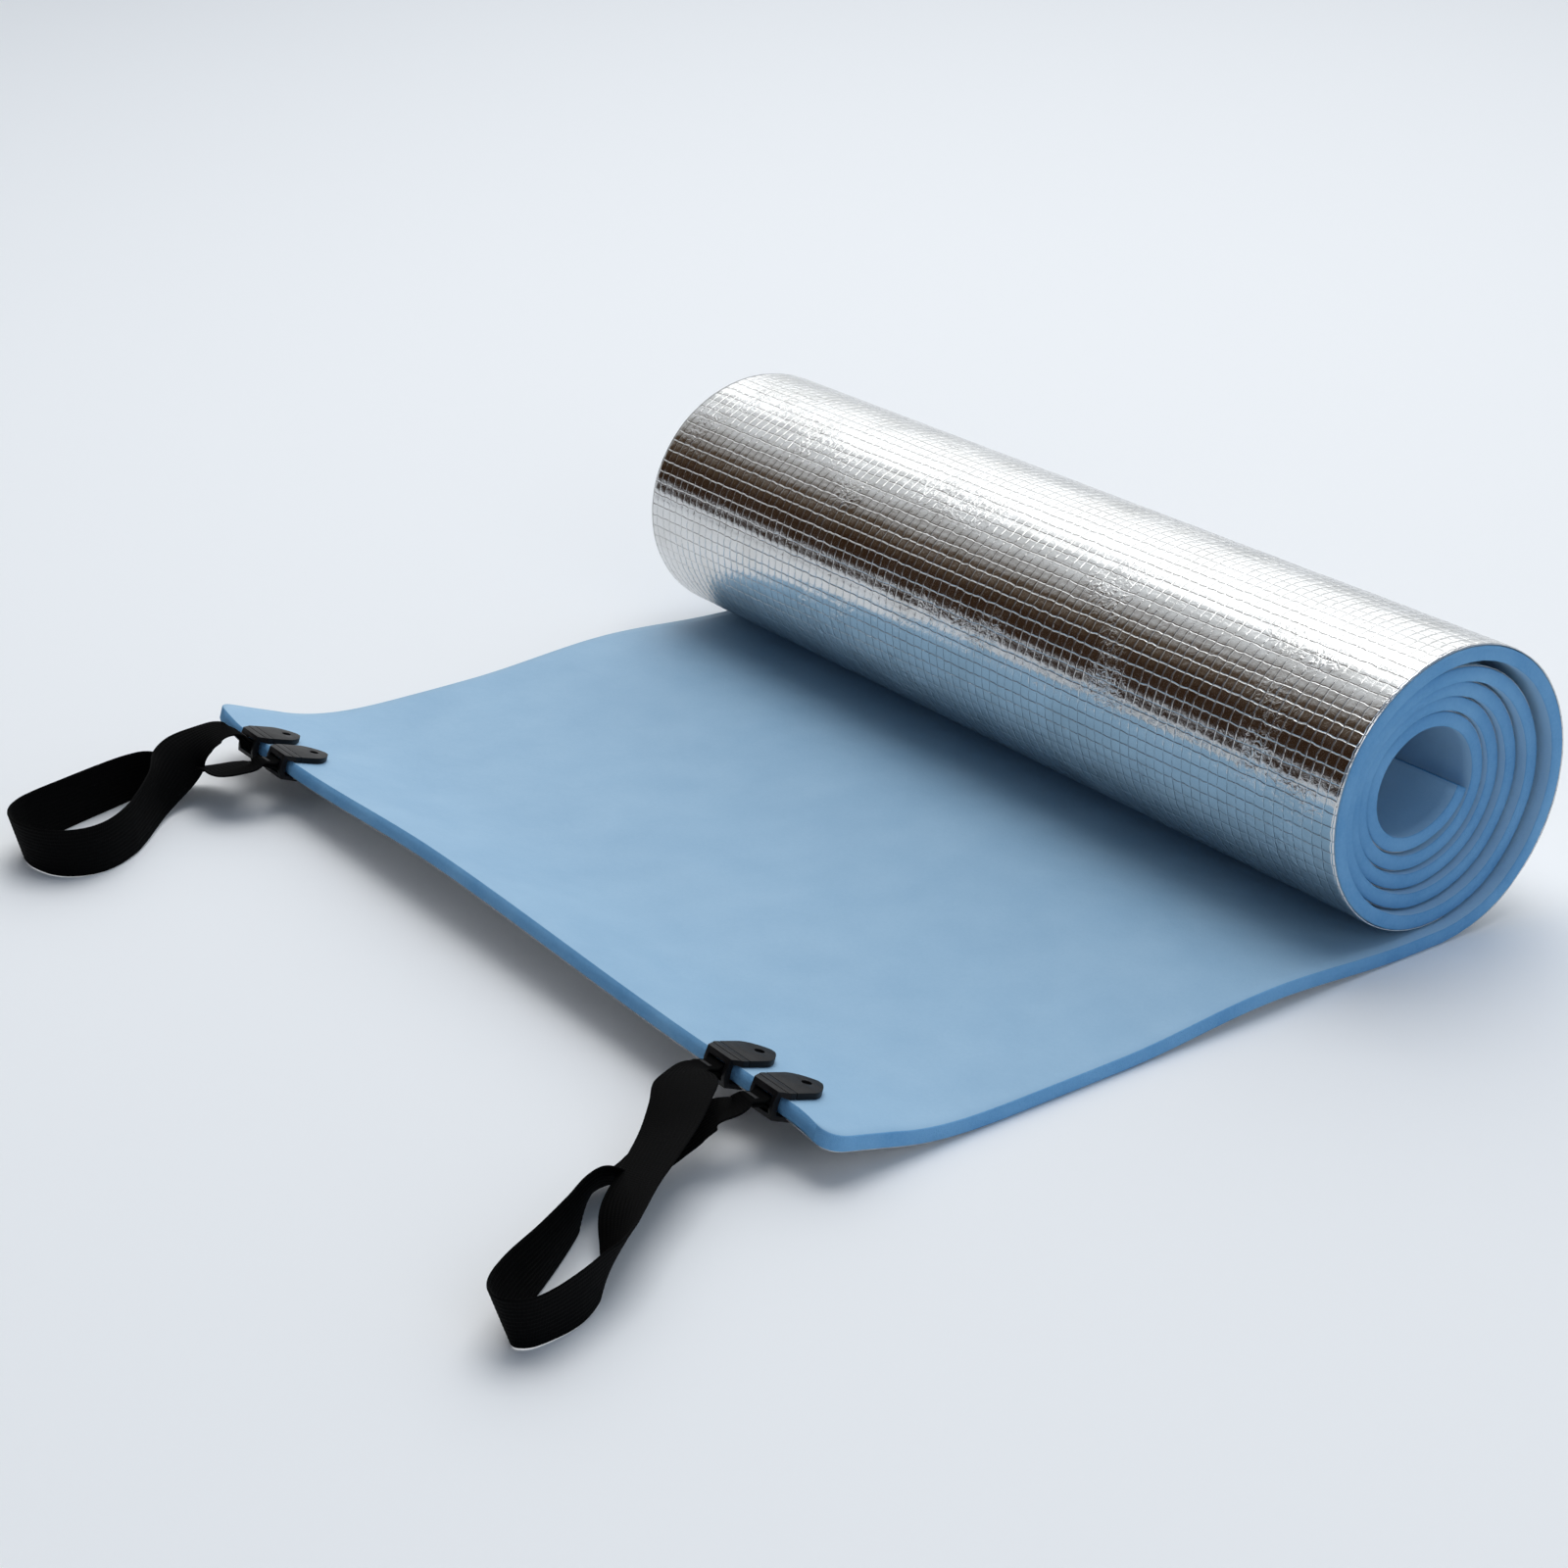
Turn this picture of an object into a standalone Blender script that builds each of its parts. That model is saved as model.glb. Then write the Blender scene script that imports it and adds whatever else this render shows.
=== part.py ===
"""Foam sleeping pad, partly unrolled: a foam sheet with a foil facing, four snap clips on its
front edge, and two loops of elastic webbing. Metres, +Z up, the floor is z = 0."""

from math import atan2, cos, pi, radians, sin, tan

import bmesh
import bpy
from mathutils import Matrix, Vector

MM = 0.001

# The pad: x runs across its width, y from the open front edge towards the roll.
PAD_WIDTH = 500 * MM
PAD_THICK = 7 * MM            # foam and film together
FILM_THICK = 0.25 * MM
FILM_GAP = 0.25 * MM          # keeps the film's mesh off the foam's
HALF = PAD_THICK / 2

# The open part curls up at its front edge, and has a low hump before the roll.
CURL_HEIGHT = 18.9 * MM       # underside of the front edge above the floor
CURL_SLOPE = radians(18.3)
CURL_STRAIGHT = 34 * MM       # the stretch that the clips hold flat
CURL_END = 95 * MM
HUMP_START, HUMP_END = 145 * MM, 310 * MM
HUMP_HEIGHT = 4.4 * MM

# Between and beside the clips the free front edge waves up and down: x across the pad.
FAR_HELD = (-221 * MM, -164 * MM)    # the far pair of clips holds it level here
NEAR_HELD = (168 * MM, 229 * MM)
CREST_AT = -35 * MM
FAR_CORNER_LIFT, CREST_LIFT, NEAR_CORNER_LIFT = 4.5 * MM, 4.6 * MM, -3.5 * MM

# The roll: its turns are counted outwards from the inner end of the pad.
ROLL_Y = 329 * MM
TURNS = 5.25
TIP_TURN = 0.046
TIP_CURL, TIP_CURL_TURNS = 1.4 * MM, 0.3   # the inner end is bent in by this much
LOOSE_FROM = 3.5              # the turn from which the winding loosens
CORE_RADIUS = 25.8 * MM
PITCH = 7.5 * MM
LOOSENESS = 2.6 * MM          # extra room under the outermost turn
SAG = 1.3 * MM                # the roll is this much wider and lower than round
CORE_HEIGHT = 68 * MM
TELESCOPE = 18 * MM           # how far the core has slid sideways out of line
STEPS_PER_TURN = 26

# Mesh steps as (from, to, steps): along the open part, and across the pad.
OPEN_SPANS = ((0.0, CURL_STRAIGHT, 3), (CURL_STRAIGHT, CURL_END, 6), (CURL_END, HUMP_START, 2),
              (HUMP_START, HUMP_END, 10))
CROSS_SPANS = ((-PAD_WIDTH / 2, FAR_HELD[0], 2), (*FAR_HELD, 1), (FAR_HELD[1], CREST_AT, 4),
               (CREST_AT, NEAR_HELD[0], 5), (*NEAR_HELD, 1), (NEAR_HELD[1], PAD_WIDTH / 2, 2))

# The clips, in a frame on the front edge: a across, b into the pad, c up from its middle.
CLIPS = (("near_inner", 183 * MM), ("near_outer", 213.5 * MM),
         ("far_outer", -207 * MM), ("far_inner", -179 * MM))
FIT = 0.3 * MM
LEAF_THICK = 2.6 * MM
LEAF_HALF = 10 * MM
LEAF_START, LEAF_SHOULDER, LEAF_TIP = 3.4 * MM, 12 * MM, 22.4 * MM
LEAF_NOSE = LEAF_TIP - 1.6 * MM
NOSE_HALF, TIP_HALF = 3.8 * MM, 2 * MM
UNDER_THICK = 1.8 * MM        # the bottom leaf is thinner than the top one
LEAF_BOTTOM = HALF + FIT
LEAF_TOP = LEAF_BOTTOM + LEAF_THICK
NECK_BACK, NECK_FRONT = -2.2 * MM, -5.0 * MM
NECK_HALF = 7.4 * MM
WINDOW_HALF = 5.5 * MM
WINDOW_HEIGHT = 7.4 * MM
WINDOW_BACK = -0.3 * MM
CUT_SPARE = 3 * MM            # cutters stand out this far
ROOT_AT = 0.4 * MM            # where the top root is as wide as the leaf
BAR_AT = (NECK_BACK + NECK_FRONT) / 2
BAR_RADIUS = 1.2 * MM
BAR_SUNK = 0.8 * MM           # each end of the bar is sunk into the neck
PIN_AT = 15.5 * MM
PIN_RADIUS, PIN_HEAD_RADIUS = 1.5 * MM, 1.75 * MM
PIN_TOP = LEAF_TOP - 0.9 * MM
PIN_SUNK = 1.2 * MM           # the pin starts this far inside the bottom leaf
HEAD_HIGH, HEAD_LAP = 1.6 * MM, 0.4 * MM
HOLE_RADIUS = 2.15 * MM

# The elastic webbing.
WEB_WIDTH = 25 * MM
WEB_THICK = 1.2 * MM
EYE_WIDTH = 9.8 * MM          # where it is gathered round the clip's bar
EYE_GAP = FIT
EYE_WRAP = 112                # degrees it goes round the bar, each way from level
EYE_STEPS = 8
TACK_AT = -5.8 * MM           # where the two plies of an eye are sewn, from the bar
SEWN_TAIL = 2.6 * MM          # the plies lie flat this far to each side of the stitches
GATHER_WIDTH = 15 * MM        # its width at the first and last knots of its route
WEB_COLUMNS = 3               # mesh faces across the webbing
CURVE_STEPS = 4               # mesh rows from one knot of the webbing's route to the next
TACK_SIZE = (6 * MM, 2 * MM, 0.4 * MM)


def smooth(t):
    t = min(max(t, 0.0), 1.0)
    return t * t * (3 - 2 * t)


def empty_scene():
    for thing in list(bpy.data.objects):
        bpy.data.objects.remove(thing, do_unlink=True)


def material(name, colour, roughness, metallic=0.0):
    made = bpy.data.materials.new(name)
    made.use_nodes = True
    shader = made.node_tree.nodes["Principled BSDF"]
    shader.inputs["Base Color"].default_value = (*colour, 1.0)
    shader.inputs["Roughness"].default_value = roughness
    shader.inputs["Metallic"].default_value = metallic
    made.diffuse_color = (*colour, 1.0)
    return made


def add_object(name, mesh_or_bm, stuff, parent=None, matrix=None):
    """Put a mesh in the scene; matrix is its world place, kept under its parent."""
    mesh = mesh_or_bm
    if isinstance(mesh_or_bm, bmesh.types.BMesh):
        mesh = bpy.data.meshes.new(name)
        bmesh.ops.recalc_face_normals(mesh_or_bm, faces=mesh_or_bm.faces)
        mesh_or_bm.to_mesh(mesh)
        mesh_or_bm.free()
    if stuff and not mesh.materials:
        mesh.materials.append(stuff)
    made = bpy.data.objects.new(name, mesh)
    bpy.context.collection.objects.link(made)
    if parent:
        made.parent = parent
        matrix = parent.matrix_basis.inverted() @ matrix
    if matrix:
        made.matrix_basis = matrix
    return made


def add_empty(name, matrix):
    made = bpy.data.objects.new(name, None)
    made.empty_display_size = 10 * MM
    bpy.context.collection.objects.link(made)
    made.matrix_basis = matrix
    return made


# ---------------------------------------------------------------- the pad's middle line

def flat_height(y):
    """Height of the pad's middle line above the floor in the open part."""
    slope = tan(CURL_SLOPE)
    front = CURL_HEIGHT + HALF
    held = front - slope * CURL_STRAIGHT
    if y <= CURL_STRAIGHT:
        return front - slope * y
    if y <= CURL_END:
        span = CURL_END - CURL_STRAIGHT
        t = (y - CURL_STRAIGHT) / span
        start = (1 + 2 * t) * (1 - t) ** 2
        end = t * t * (3 - 2 * t)
        lean = t * (1 - t) ** 2 * span
        return start * held + end * HALF - lean * slope
    if HUMP_START < y < HUMP_END:
        turn = 2 * pi * (y - HUMP_START) / (HUMP_END - HUMP_START)
        return HALF + HUMP_HEIGHT * (1 - cos(turn)) / 2
    return HALF


def looseness(turn):
    """How far the winding has loosened at a turn: 0 inside, 1 at the outermost turn."""
    return smooth((turn - LOOSE_FROM) / (TURNS - LOOSE_FROM))


def roll_radius(turn):
    tip = TIP_CURL * sin(pi * min(max((turn - TIP_TURN) / TIP_CURL_TURNS, 0), 1))
    return CORE_RADIUS + PITCH * turn + LOOSENESS * looseness(turn) - tip


def roll_point(turn):
    """A point of the middle line in the roll, counted in turns from the inner end."""
    outer_centre = HALF + roll_radius(TURNS) - SAG
    height = CORE_HEIGHT + (outer_centre - CORE_HEIGHT) * looseness(turn)
    angle = -pi / 2 + (TURNS - turn) * 2 * pi
    radius = roll_radius(turn)
    return ROLL_Y + (radius + SAG) * cos(angle), height + (radius - SAG) * sin(angle)


def lift(x, y):
    """How the free front edge waves across the width, between and beside the clips."""
    outer_far, inner_far = FAR_HELD
    inner_near, outer_near = NEAR_HELD
    edge = PAD_WIDTH / 2
    if x < outer_far:
        amount = FAR_CORNER_LIFT * smooth((outer_far - x) / (edge + outer_far))
    elif x > outer_near:
        amount = NEAR_CORNER_LIFT * smooth((x - outer_near) / (edge - outer_near))
    elif inner_far < x < CREST_AT:
        amount = CREST_LIFT * smooth((x - inner_far) / (CREST_AT - inner_far))
    elif CREST_AT <= x < inner_near:
        amount = CREST_LIFT * smooth((inner_near - x) / (inner_near - CREST_AT))
    else:
        amount = 0.0
    return amount * max(0.0, 1 - y / CURL_END) ** 2


def spread(spans):
    """The values that divide each (from, to, steps) span evenly, in one rising list."""
    found = [spans[0][0]]
    for start, end, steps in spans:
        found += [start + (end - start) * (i + 1) / steps for i in range(steps)]
    return found


def pad_stations():
    """Places along the pad from its front edge to its inner end: y, z, sideways shift, and
    whether the pad is open there."""
    stations = [(y, flat_height(y), 0.0, True) for y in spread(OPEN_SPANS)]
    leave = TURNS - atan2(PITCH / (2 * pi), roll_radius(TURNS)) / (2 * pi)
    steps = int((leave - TIP_TURN) * STEPS_PER_TURN)
    for i in range(steps + 1):
        turn = leave + (TIP_TURN - leave) * i / steps
        y, z = roll_point(turn)
        shift = -TELESCOPE * (1 - (turn / TURNS) ** 2)
        stations.append((y, z, shift, False))
    return stations


def normals(stations):
    """Unit normals of the middle line, towards the pad's upper face."""
    found = []
    last = len(stations) - 1
    for i, (y, z, _, _) in enumerate(stations):
        before, after = stations[max(i - 1, 0)], stations[min(i + 1, last)]
        dy, dz = after[0] - before[0], after[1] - before[1]
        if i == 0 or stations[i][0] <= CURL_STRAIGHT and stations[i][3]:
            dy, dz = cos(CURL_SLOPE), -sin(CURL_SLOPE)
        length = (dy * dy + dz * dz) ** 0.5
        found.append((-dz / length, dy / length))
    return found


def sheet(stations, ways, low, high):
    """A closed sheet between two offsets from the middle line."""
    bm = bmesh.new()
    cross = spread(CROSS_SPANS)
    rows = []
    for (y, z, shift, is_open), (ny, nz) in zip(stations, ways):
        xs = cross if is_open else (cross[0], cross[-1])
        pair = []
        for offset in (low, high):
            line = []
            for x in xs:
                up = lift(x, y) if is_open else 0.0
                line.append(bm.verts.new((x + shift, y + ny * offset, z + nz * offset + up)))
            pair.append(line)
        rows.append(pair)
    for (low_a, high_a), (low_b, high_b) in zip(rows, rows[1:]):
        if len(low_a) == len(low_b):
            for i in range(len(low_a) - 1):
                bm.faces.new((low_a[i], low_b[i], low_b[i + 1], low_a[i + 1]))
                bm.faces.new((high_a[i], high_a[i + 1], high_b[i + 1], high_b[i]))
        else:
            bm.faces.new(low_a[::-1] + [low_b[0], low_b[1]])
            bm.faces.new(high_a + [high_b[1], high_b[0]])
        bm.faces.new((low_a[0], high_a[0], high_b[0], low_b[0]))
        bm.faces.new((low_a[-1], low_b[-1], high_b[-1], high_a[-1]))
    for low_line, high_line in (rows[0], rows[-1]):
        for i in range(len(low_line) - 1):
            bm.faces.new((low_line[i], low_line[i + 1], high_line[i + 1], high_line[i]))
    return bm


# ---------------------------------------------------------------- small solids

def cylinder(radius, start, end, segments=20):
    """A round bar from one point to another."""
    start, end = Vector(start), Vector(end)
    bm = bmesh.new()
    axis = end - start
    turn = axis.to_track_quat("Z", "Y").to_matrix().to_4x4()
    place = Matrix.Translation((start + end) / 2) @ turn
    bmesh.ops.create_cone(bm, cap_ends=True, segments=segments, radius1=radius, radius2=radius,
                          depth=axis.length, matrix=place)
    return bm


def block(low, high):
    bm = bmesh.new()
    size = [b - a for a, b in zip(low, high)]
    middle = [(a + b) / 2 for a, b in zip(low, high)]
    place = Matrix.Translation(middle) @ Matrix.Diagonal((*size, 1))
    bmesh.ops.create_cube(bm, size=1, matrix=place)
    return bm


def cut_or_join(start, tools):
    """The mesh that is left when each tool has been cut from, or joined to, the first one."""
    base = add_object("work", start, None)
    extras = []
    for operation, bm in tools:
        tool = add_object("tool", bm, None)
        step = base.modifiers.new(operation.lower(), "BOOLEAN")
        step.operation = operation
        step.solver = "EXACT"
        step.object = tool
        extras.append(tool)
    bpy.context.view_layer.update()
    graph = bpy.context.evaluated_depsgraph_get()
    made = bpy.data.meshes.new_from_object(base.evaluated_get(graph))
    for thing in (base, *extras):
        bpy.data.objects.remove(thing, do_unlink=True)
    return made


def strip(stations):
    """A bent strip: each station is (inner b, c), (outer b, c), half width."""
    bm = bmesh.new()
    rings = []
    for inner, outer, half in stations:
        corners = ((-half, *inner), (half, *inner), (half, *outer), (-half, *outer))
        rings.append([bm.verts.new(corner) for corner in corners])
    for one, two in zip(rings, rings[1:]):
        for i in range(4):
            j = (i + 1) % 4
            bm.faces.new((one[i], one[j], two[j], two[i]))
    bm.faces.new(rings[0][::-1])
    bm.faces.new(rings[-1])
    return bm


def clip_base_mesh():
    """Bottom leaf, slotted neck, top root, strap bar and snap pin, as one moulding."""
    low, high = -LEAF_BOTTOM, LEAF_BOTTOM
    under, over = low - UNDER_THICK, LEAF_TOP
    shape = [((LEAF_TIP, low), (LEAF_TIP, under), TIP_HALF),
             ((LEAF_NOSE, low), (LEAF_NOSE, under), NOSE_HALF),
             ((LEAF_SHOULDER, low), (LEAF_SHOULDER, under), LEAF_HALF),
             ((LEAF_START, low), (LEAF_START, under), LEAF_HALF),
             ((NECK_BACK, low), (NECK_FRONT, under), NECK_HALF),
             ((NECK_BACK, high), (NECK_FRONT, over), NECK_HALF),
             ((ROOT_AT, high), (ROOT_AT, over), LEAF_HALF),
             ((LEAF_START - FIT, high), (LEAF_START - FIT, over), LEAF_HALF)]
    window = block((-WINDOW_HALF, NECK_FRONT - CUT_SPARE, -WINDOW_HEIGHT / 2),
                   (WINDOW_HALF, WINDOW_BACK, WINDOW_HEIGHT / 2))
    reach = WINDOW_HALF + BAR_SUNK
    bar = cylinder(BAR_RADIUS, (-reach, BAR_AT, 0), (reach, BAR_AT, 0), 16)
    root, head_low = low - PIN_SUNK, PIN_TOP - HEAD_HIGH
    pin = cylinder(PIN_RADIUS, (0, PIN_AT, root), (0, PIN_AT, head_low + HEAD_LAP), 16)
    head = cylinder(PIN_HEAD_RADIUS, (0, PIN_AT, head_low), (0, PIN_AT, PIN_TOP), 16)
    return cut_or_join(strip(shape), [("DIFFERENCE", window), ("UNION", bar), ("UNION", pin),
                                      ("UNION", head)])


def clip_leaf_mesh():
    """The arrow-shaped top leaf with its snap hole."""
    level = [((LEAF_START, LEAF_BOTTOM), (LEAF_START, LEAF_TOP), LEAF_HALF),
             ((LEAF_SHOULDER, LEAF_BOTTOM), (LEAF_SHOULDER, LEAF_TOP), LEAF_HALF),
             ((LEAF_NOSE, LEAF_BOTTOM), (LEAF_NOSE, LEAF_TOP), NOSE_HALF),
             ((LEAF_TIP, LEAF_BOTTOM), (LEAF_TIP, LEAF_TOP), TIP_HALF)]
    hole = cylinder(HOLE_RADIUS, (0, PIN_AT, 0), (0, PIN_AT, 2 * LEAF_TOP), 20)
    return cut_or_join(strip(level), [("DIFFERENCE", hole)])


# ---------------------------------------------------------------- the webbing

def clip_place(x):
    """The clip frame of a clip whose middle is at x."""
    turn = Matrix.Rotation(-CURL_SLOPE, 4, "X")
    return Matrix.Translation((x, 0, CURL_HEIGHT + HALF)) @ turn


def eye_place(x, lift_angle):
    """The frame of one sewn eye: on the clip's bar, turned up about it by lift_angle degrees."""
    return clip_place(x) @ Matrix.Translation((0, BAR_AT, 0)) @ Matrix.Rotation(
        -radians(lift_angle), 4, "X")


def eye_points(x, side, lift_angle):
    """The webbing's line round a clip's bar, from its sewn end to where it leaves the eye, as
    (point, width direction, width). side is the x direction that its left edge faces."""
    place = eye_place(x, lift_angle)
    ring = BAR_RADIUS + EYE_GAP + WEB_THICK / 2
    ply = (WEB_THICK + EYE_GAP) / 2
    line = [(TACK_AT - SEWN_TAIL, -ply), (TACK_AT + SEWN_TAIL, -ply)]
    for i in range(EYE_STEPS + 1):
        angle = radians(EYE_WRAP * (2 * i / EYE_STEPS - 1))
        line.append((ring * cos(angle), ring * sin(angle)))
    line += [(TACK_AT + SEWN_TAIL, ply), (TACK_AT - SEWN_TAIL, ply)]
    return [(place @ Vector((0, b, c)), Vector((side, 0, 0)), EYE_WIDTH) for b, c in line]


def curve_through(points, steps):
    """Catmull-Rom values between the given tuples of numbers."""
    ends = [tuple(2 * a - b for a, b in zip(points[0], points[1]))]
    tail = [tuple(2 * a - b for a, b in zip(points[-1], points[-2]))]
    line = ends + points + tail
    found = []
    for p0, p1, p2, p3 in zip(line, line[1:], line[2:], line[3:]):
        for i in range(steps):
            t = i / steps
            found.append(tuple(
                0.5 * (2 * b + (c - a) * t + (2 * a - 5 * b + 4 * c - d) * t * t
                       + (3 * b - a - 3 * c + d) * t ** 3)
                for a, b, c, d in zip(p0, p1, p2, p3)))
    found.append(points[-1])
    return found


# Each route runs from the clip whose strand lies on top, round the loop, to the other clip of
# the pair: x, y, z in mm, then the tilt of the webbing in degrees. At 0 and 180 the webbing
# lies flat, and at 90 it stands on edge.
# Each end of it is given as the clip, how far its eye is lifted, and the tilt there, in degrees.
NEAR_EYES = (("near_inner", 0, 0), ("near_outer", 0, 180))
NEAR_ROUTE = [
    (185, -17, 27.8, 1), (191.5, -23.5, 27.8, 5), (200, -32, 26.4, 11), (210, -44, 23.5, 17),
    (222, -61, 21, 22), (233, -77, 18.5, 28), (245, -88, 15.8, 46), (253, -95, 14.2, 58),
    (259, -101.5, 13.5, 66), (264, -109, 12.9, 78), (269.5, -121, 12.7, 82),
    (272.3, -134.5, 12.7, 78), (271.8, -144, 12.7, 75), (266.5, -149.4, 12.7, 74),
    (258.5, -147, 12.7, 74), (249.5, -136, 12.7, 79), (239.5, -118.5, 12.7, 87),
    (228.5, -101, 12.7, 94), (219, -87.5, 12.6, 101), (210.5, -77, 10.5, 128),
    (206.5, -65, 7.2, 158), (205.5, -53, 9, 167), (204, -41, 12, 171),
    (204.5, -30, 16, 174), (208, -21.5, 20.8, 177), (212.5, -16.5, 24.3, 180)]
FAR_EYES = (("far_outer", 34, 180), ("far_inner", 0, 180))
FAR_ROUTE = [
    (-207.5, -13, 33.2, 180), (-209.5, -18, 32.6, 178), (-211.5, -25, 30, 170),
    (-212.5, -34, 25, 150), (-209.5, -43.5, 18.5, 124), (-202, -53, 15, 104),
    (-192, -62.6, 13.8, 98), (-182, -72, 13.2, 96), (-173, -81.5, 12.9, 93),
    (-165.5, -94, 12.7, 88), (-163.5, -105, 12.7, 84), (-167, -115, 12.7, 82),
    (-174, -121.9, 12.7, 80), (-183, -125.8, 12.7, 78), (-192, -127, 12.7, 77),
    (-201.5, -125, 12.7, 78), (-208.5, -119, 12.7, 80), (-213.5, -110, 12.7, 84),
    (-219.5, -91, 12.7, 88), (-224.5, -73, 12.7, 90), (-228, -58, 12.7, 94),
    (-229, -47, 12.6, 104), (-225, -36.5, 12, 126), (-218, -27, 13.3, 152),
    (-210, -22, 16, 166), (-203, -20.5, 18.5, 172), (-195.5, -20.5, 20.5, 176),
    (-187.5, -20.5, 22, 178), (-180.5, -16.5, 24.4, 180)]


def web_line(route, first, second):
    """The whole line of one loop of webbing, from the eye first to the eye second, each given as
    (clip's x, lift, the webbing's tilt there)."""
    (x_a, lift_a, tilt_a), (x_b, lift_b, tilt_b) = first, second
    line = eye_points(x_a, cos(radians(tilt_a)), lift_a)
    back = eye_points(x_b, -cos(radians(tilt_b)), lift_b)[::-1]
    knots = [(*line[-1][0], tilt_a, EYE_WIDTH)]
    for i, (x, y, z, tilt) in enumerate(route):
        width = GATHER_WIDTH if i in (0, len(route) - 1) else WEB_WIDTH
        knots.append((x * MM, y * MM, z * MM, tilt, width))
    knots += [(*back[0][0], tilt_b, EYE_WIDTH)]
    curve = curve_through(knots, CURVE_STEPS)
    for before, knot, after in zip(curve, curve[1:], curve[2:]):
        along = (Vector(after[0:3]) - Vector(before[0:3])).normalized()
        left = Vector((-along.y, along.x, 0)).normalized()
        upward = along.cross(left)
        tilt = radians(knot[3])
        line.append((Vector(knot[0:3]), left * cos(tilt) + upward * sin(tilt), knot[4]))
    return line + back


def ribbon(line):
    """A closed flat ribbon along a line of (point, width direction, width)."""
    bm = bmesh.new()
    rings = []
    last = len(line) - 1
    for i, (point, across, width) in enumerate(line):
        along = (line[min(i + 1, last)][0] - line[max(i - 1, 0)][0]).normalized()
        across = (across - along * across.dot(along)).normalized()
        thick = along.cross(across) * WEB_THICK / 2
        sides = [across * width * (j / WEB_COLUMNS - 0.5) for j in range(WEB_COLUMNS + 1)]
        corners = [point + side - thick for side in sides]
        corners += [point + side + thick for side in sides[::-1]]
        rings.append([bm.verts.new(corner) for corner in corners])
    for one, two in zip(rings, rings[1:]):
        for i in range(len(one)):
            j = (i + 1) % len(one)
            bm.faces.new((one[i], one[j], two[j], two[i]))
    bm.faces.new(rings[0][::-1])
    bm.faces.new(rings[-1])
    return bm


def bar_tack():
    """The block of stitches on the upper face of a sewn eye, in the eye's frame."""
    wide, long, thick = TACK_SIZE
    face = WEB_THICK + EYE_GAP / 2 + FIT
    return block((-wide / 2, TACK_AT - long / 2, face), (wide / 2, TACK_AT + long / 2, face + thick))


# ---------------------------------------------------------------- the object

def build():
    empty_scene()
    foam_blue = material("foam_blue", (0.30, 0.50, 0.68), roughness=0.75)
    foil = material("aluminised_film", (0.80, 0.81, 0.82), roughness=0.22, metallic=1.0)
    plastic = material("clip_plastic", (0.035, 0.033, 0.034), roughness=0.5)
    webbing = material("elastic_webbing", (0.022, 0.020, 0.021), roughness=0.85)
    thread = material("black_thread", (0.015, 0.014, 0.015), roughness=0.7)

    stations = pad_stations()
    ways = normals(stations)
    under = -HALF
    film_top = under + FILM_THICK
    foam_low = film_top + FILM_GAP
    open_count = sum(1 for station in stations if station[3])
    split = open_count + 1

    cutter_bm = bmesh.new()
    for _, x in CLIPS:
        part = cylinder(HOLE_RADIUS, (0, PIN_AT, -2 * LEAF_TOP), (0, PIN_AT, 2 * LEAF_TOP), 16)
        part.transform(clip_place(x))
        mesh = bpy.data.meshes.new("hole")
        part.to_mesh(mesh)
        part.free()
        cutter_bm.from_mesh(mesh)
        bpy.data.meshes.remove(mesh)
    cutter = add_object("pin_hole_cutter", cutter_bm, None)
    cutter.hide_render = True
    cutter.display_type = "WIRE"

    whole = [add_object("foam_mat", sheet(stations, ways, foam_low, HALF), foam_blue)]
    near_film = sheet(stations[:split], ways[:split], under, film_top)
    whole.append(add_object("foil_facing_open", near_film, foil))
    y, z, shift, _ = stations[split - 1]
    step = stations[split]
    run = ((step[0] - y) ** 2 + (step[1] - z) ** 2) ** 0.5
    part = FIT / run
    start = (y + (step[0] - y) * part, z + (step[1] - z) * part,
             shift + (step[2] - shift) * part, False)
    way = tuple(a + (b - a) * part for a, b in zip(ways[split - 1], ways[split]))
    rolled = sheet([start] + stations[split:], [way] + ways[split:], under, film_top)
    whole.append(add_object("foil_facing_rolled", rolled, foil))
    for piece in whole[:2]:
        holes = piece.modifiers.new("pin_holes", "BOOLEAN")
        holes.operation = "DIFFERENCE"
        holes.solver = "EXACT"
        holes.object = cutter

    base_mesh, leaf_mesh = clip_base_mesh(), clip_leaf_mesh()
    for name, x in CLIPS:
        place = clip_place(x)
        add_object(f"clip_base_{name}", base_mesh, plastic, matrix=place)
        hinge = place @ Matrix.Translation((0, LEAF_START - FIT / 2, LEAF_TOP))
        axis = add_empty(f"hinge_{name}", hinge)
        add_object(f"clip_leaf_{name}", leaf_mesh, plastic, parent=axis, matrix=place)

    for name, route, eyes in (("near", NEAR_ROUTE, NEAR_EYES), ("far", FAR_ROUTE, FAR_EYES)):
        places = [(dict(CLIPS)[clip], eye_lift, tilt) for clip, eye_lift, tilt in eyes]
        middle = (places[0][0] + places[1][0]) / 2
        axis = add_empty(f"strap_pivot_{name}", eye_place(middle, 0))
        band = ribbon(web_line(route, *places))
        add_object(f"elastic_strap_{name}", band, webbing, parent=axis, matrix=Matrix())
        for clip, eye_lift, tilt in eyes:
            spot = eye_place(dict(CLIPS)[clip], eye_lift)
            add_object(f"bar_tack_{clip}", bar_tack(), thread, axis, spot)

    bpy.context.view_layer.update()
    stand_at_origin()


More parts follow.
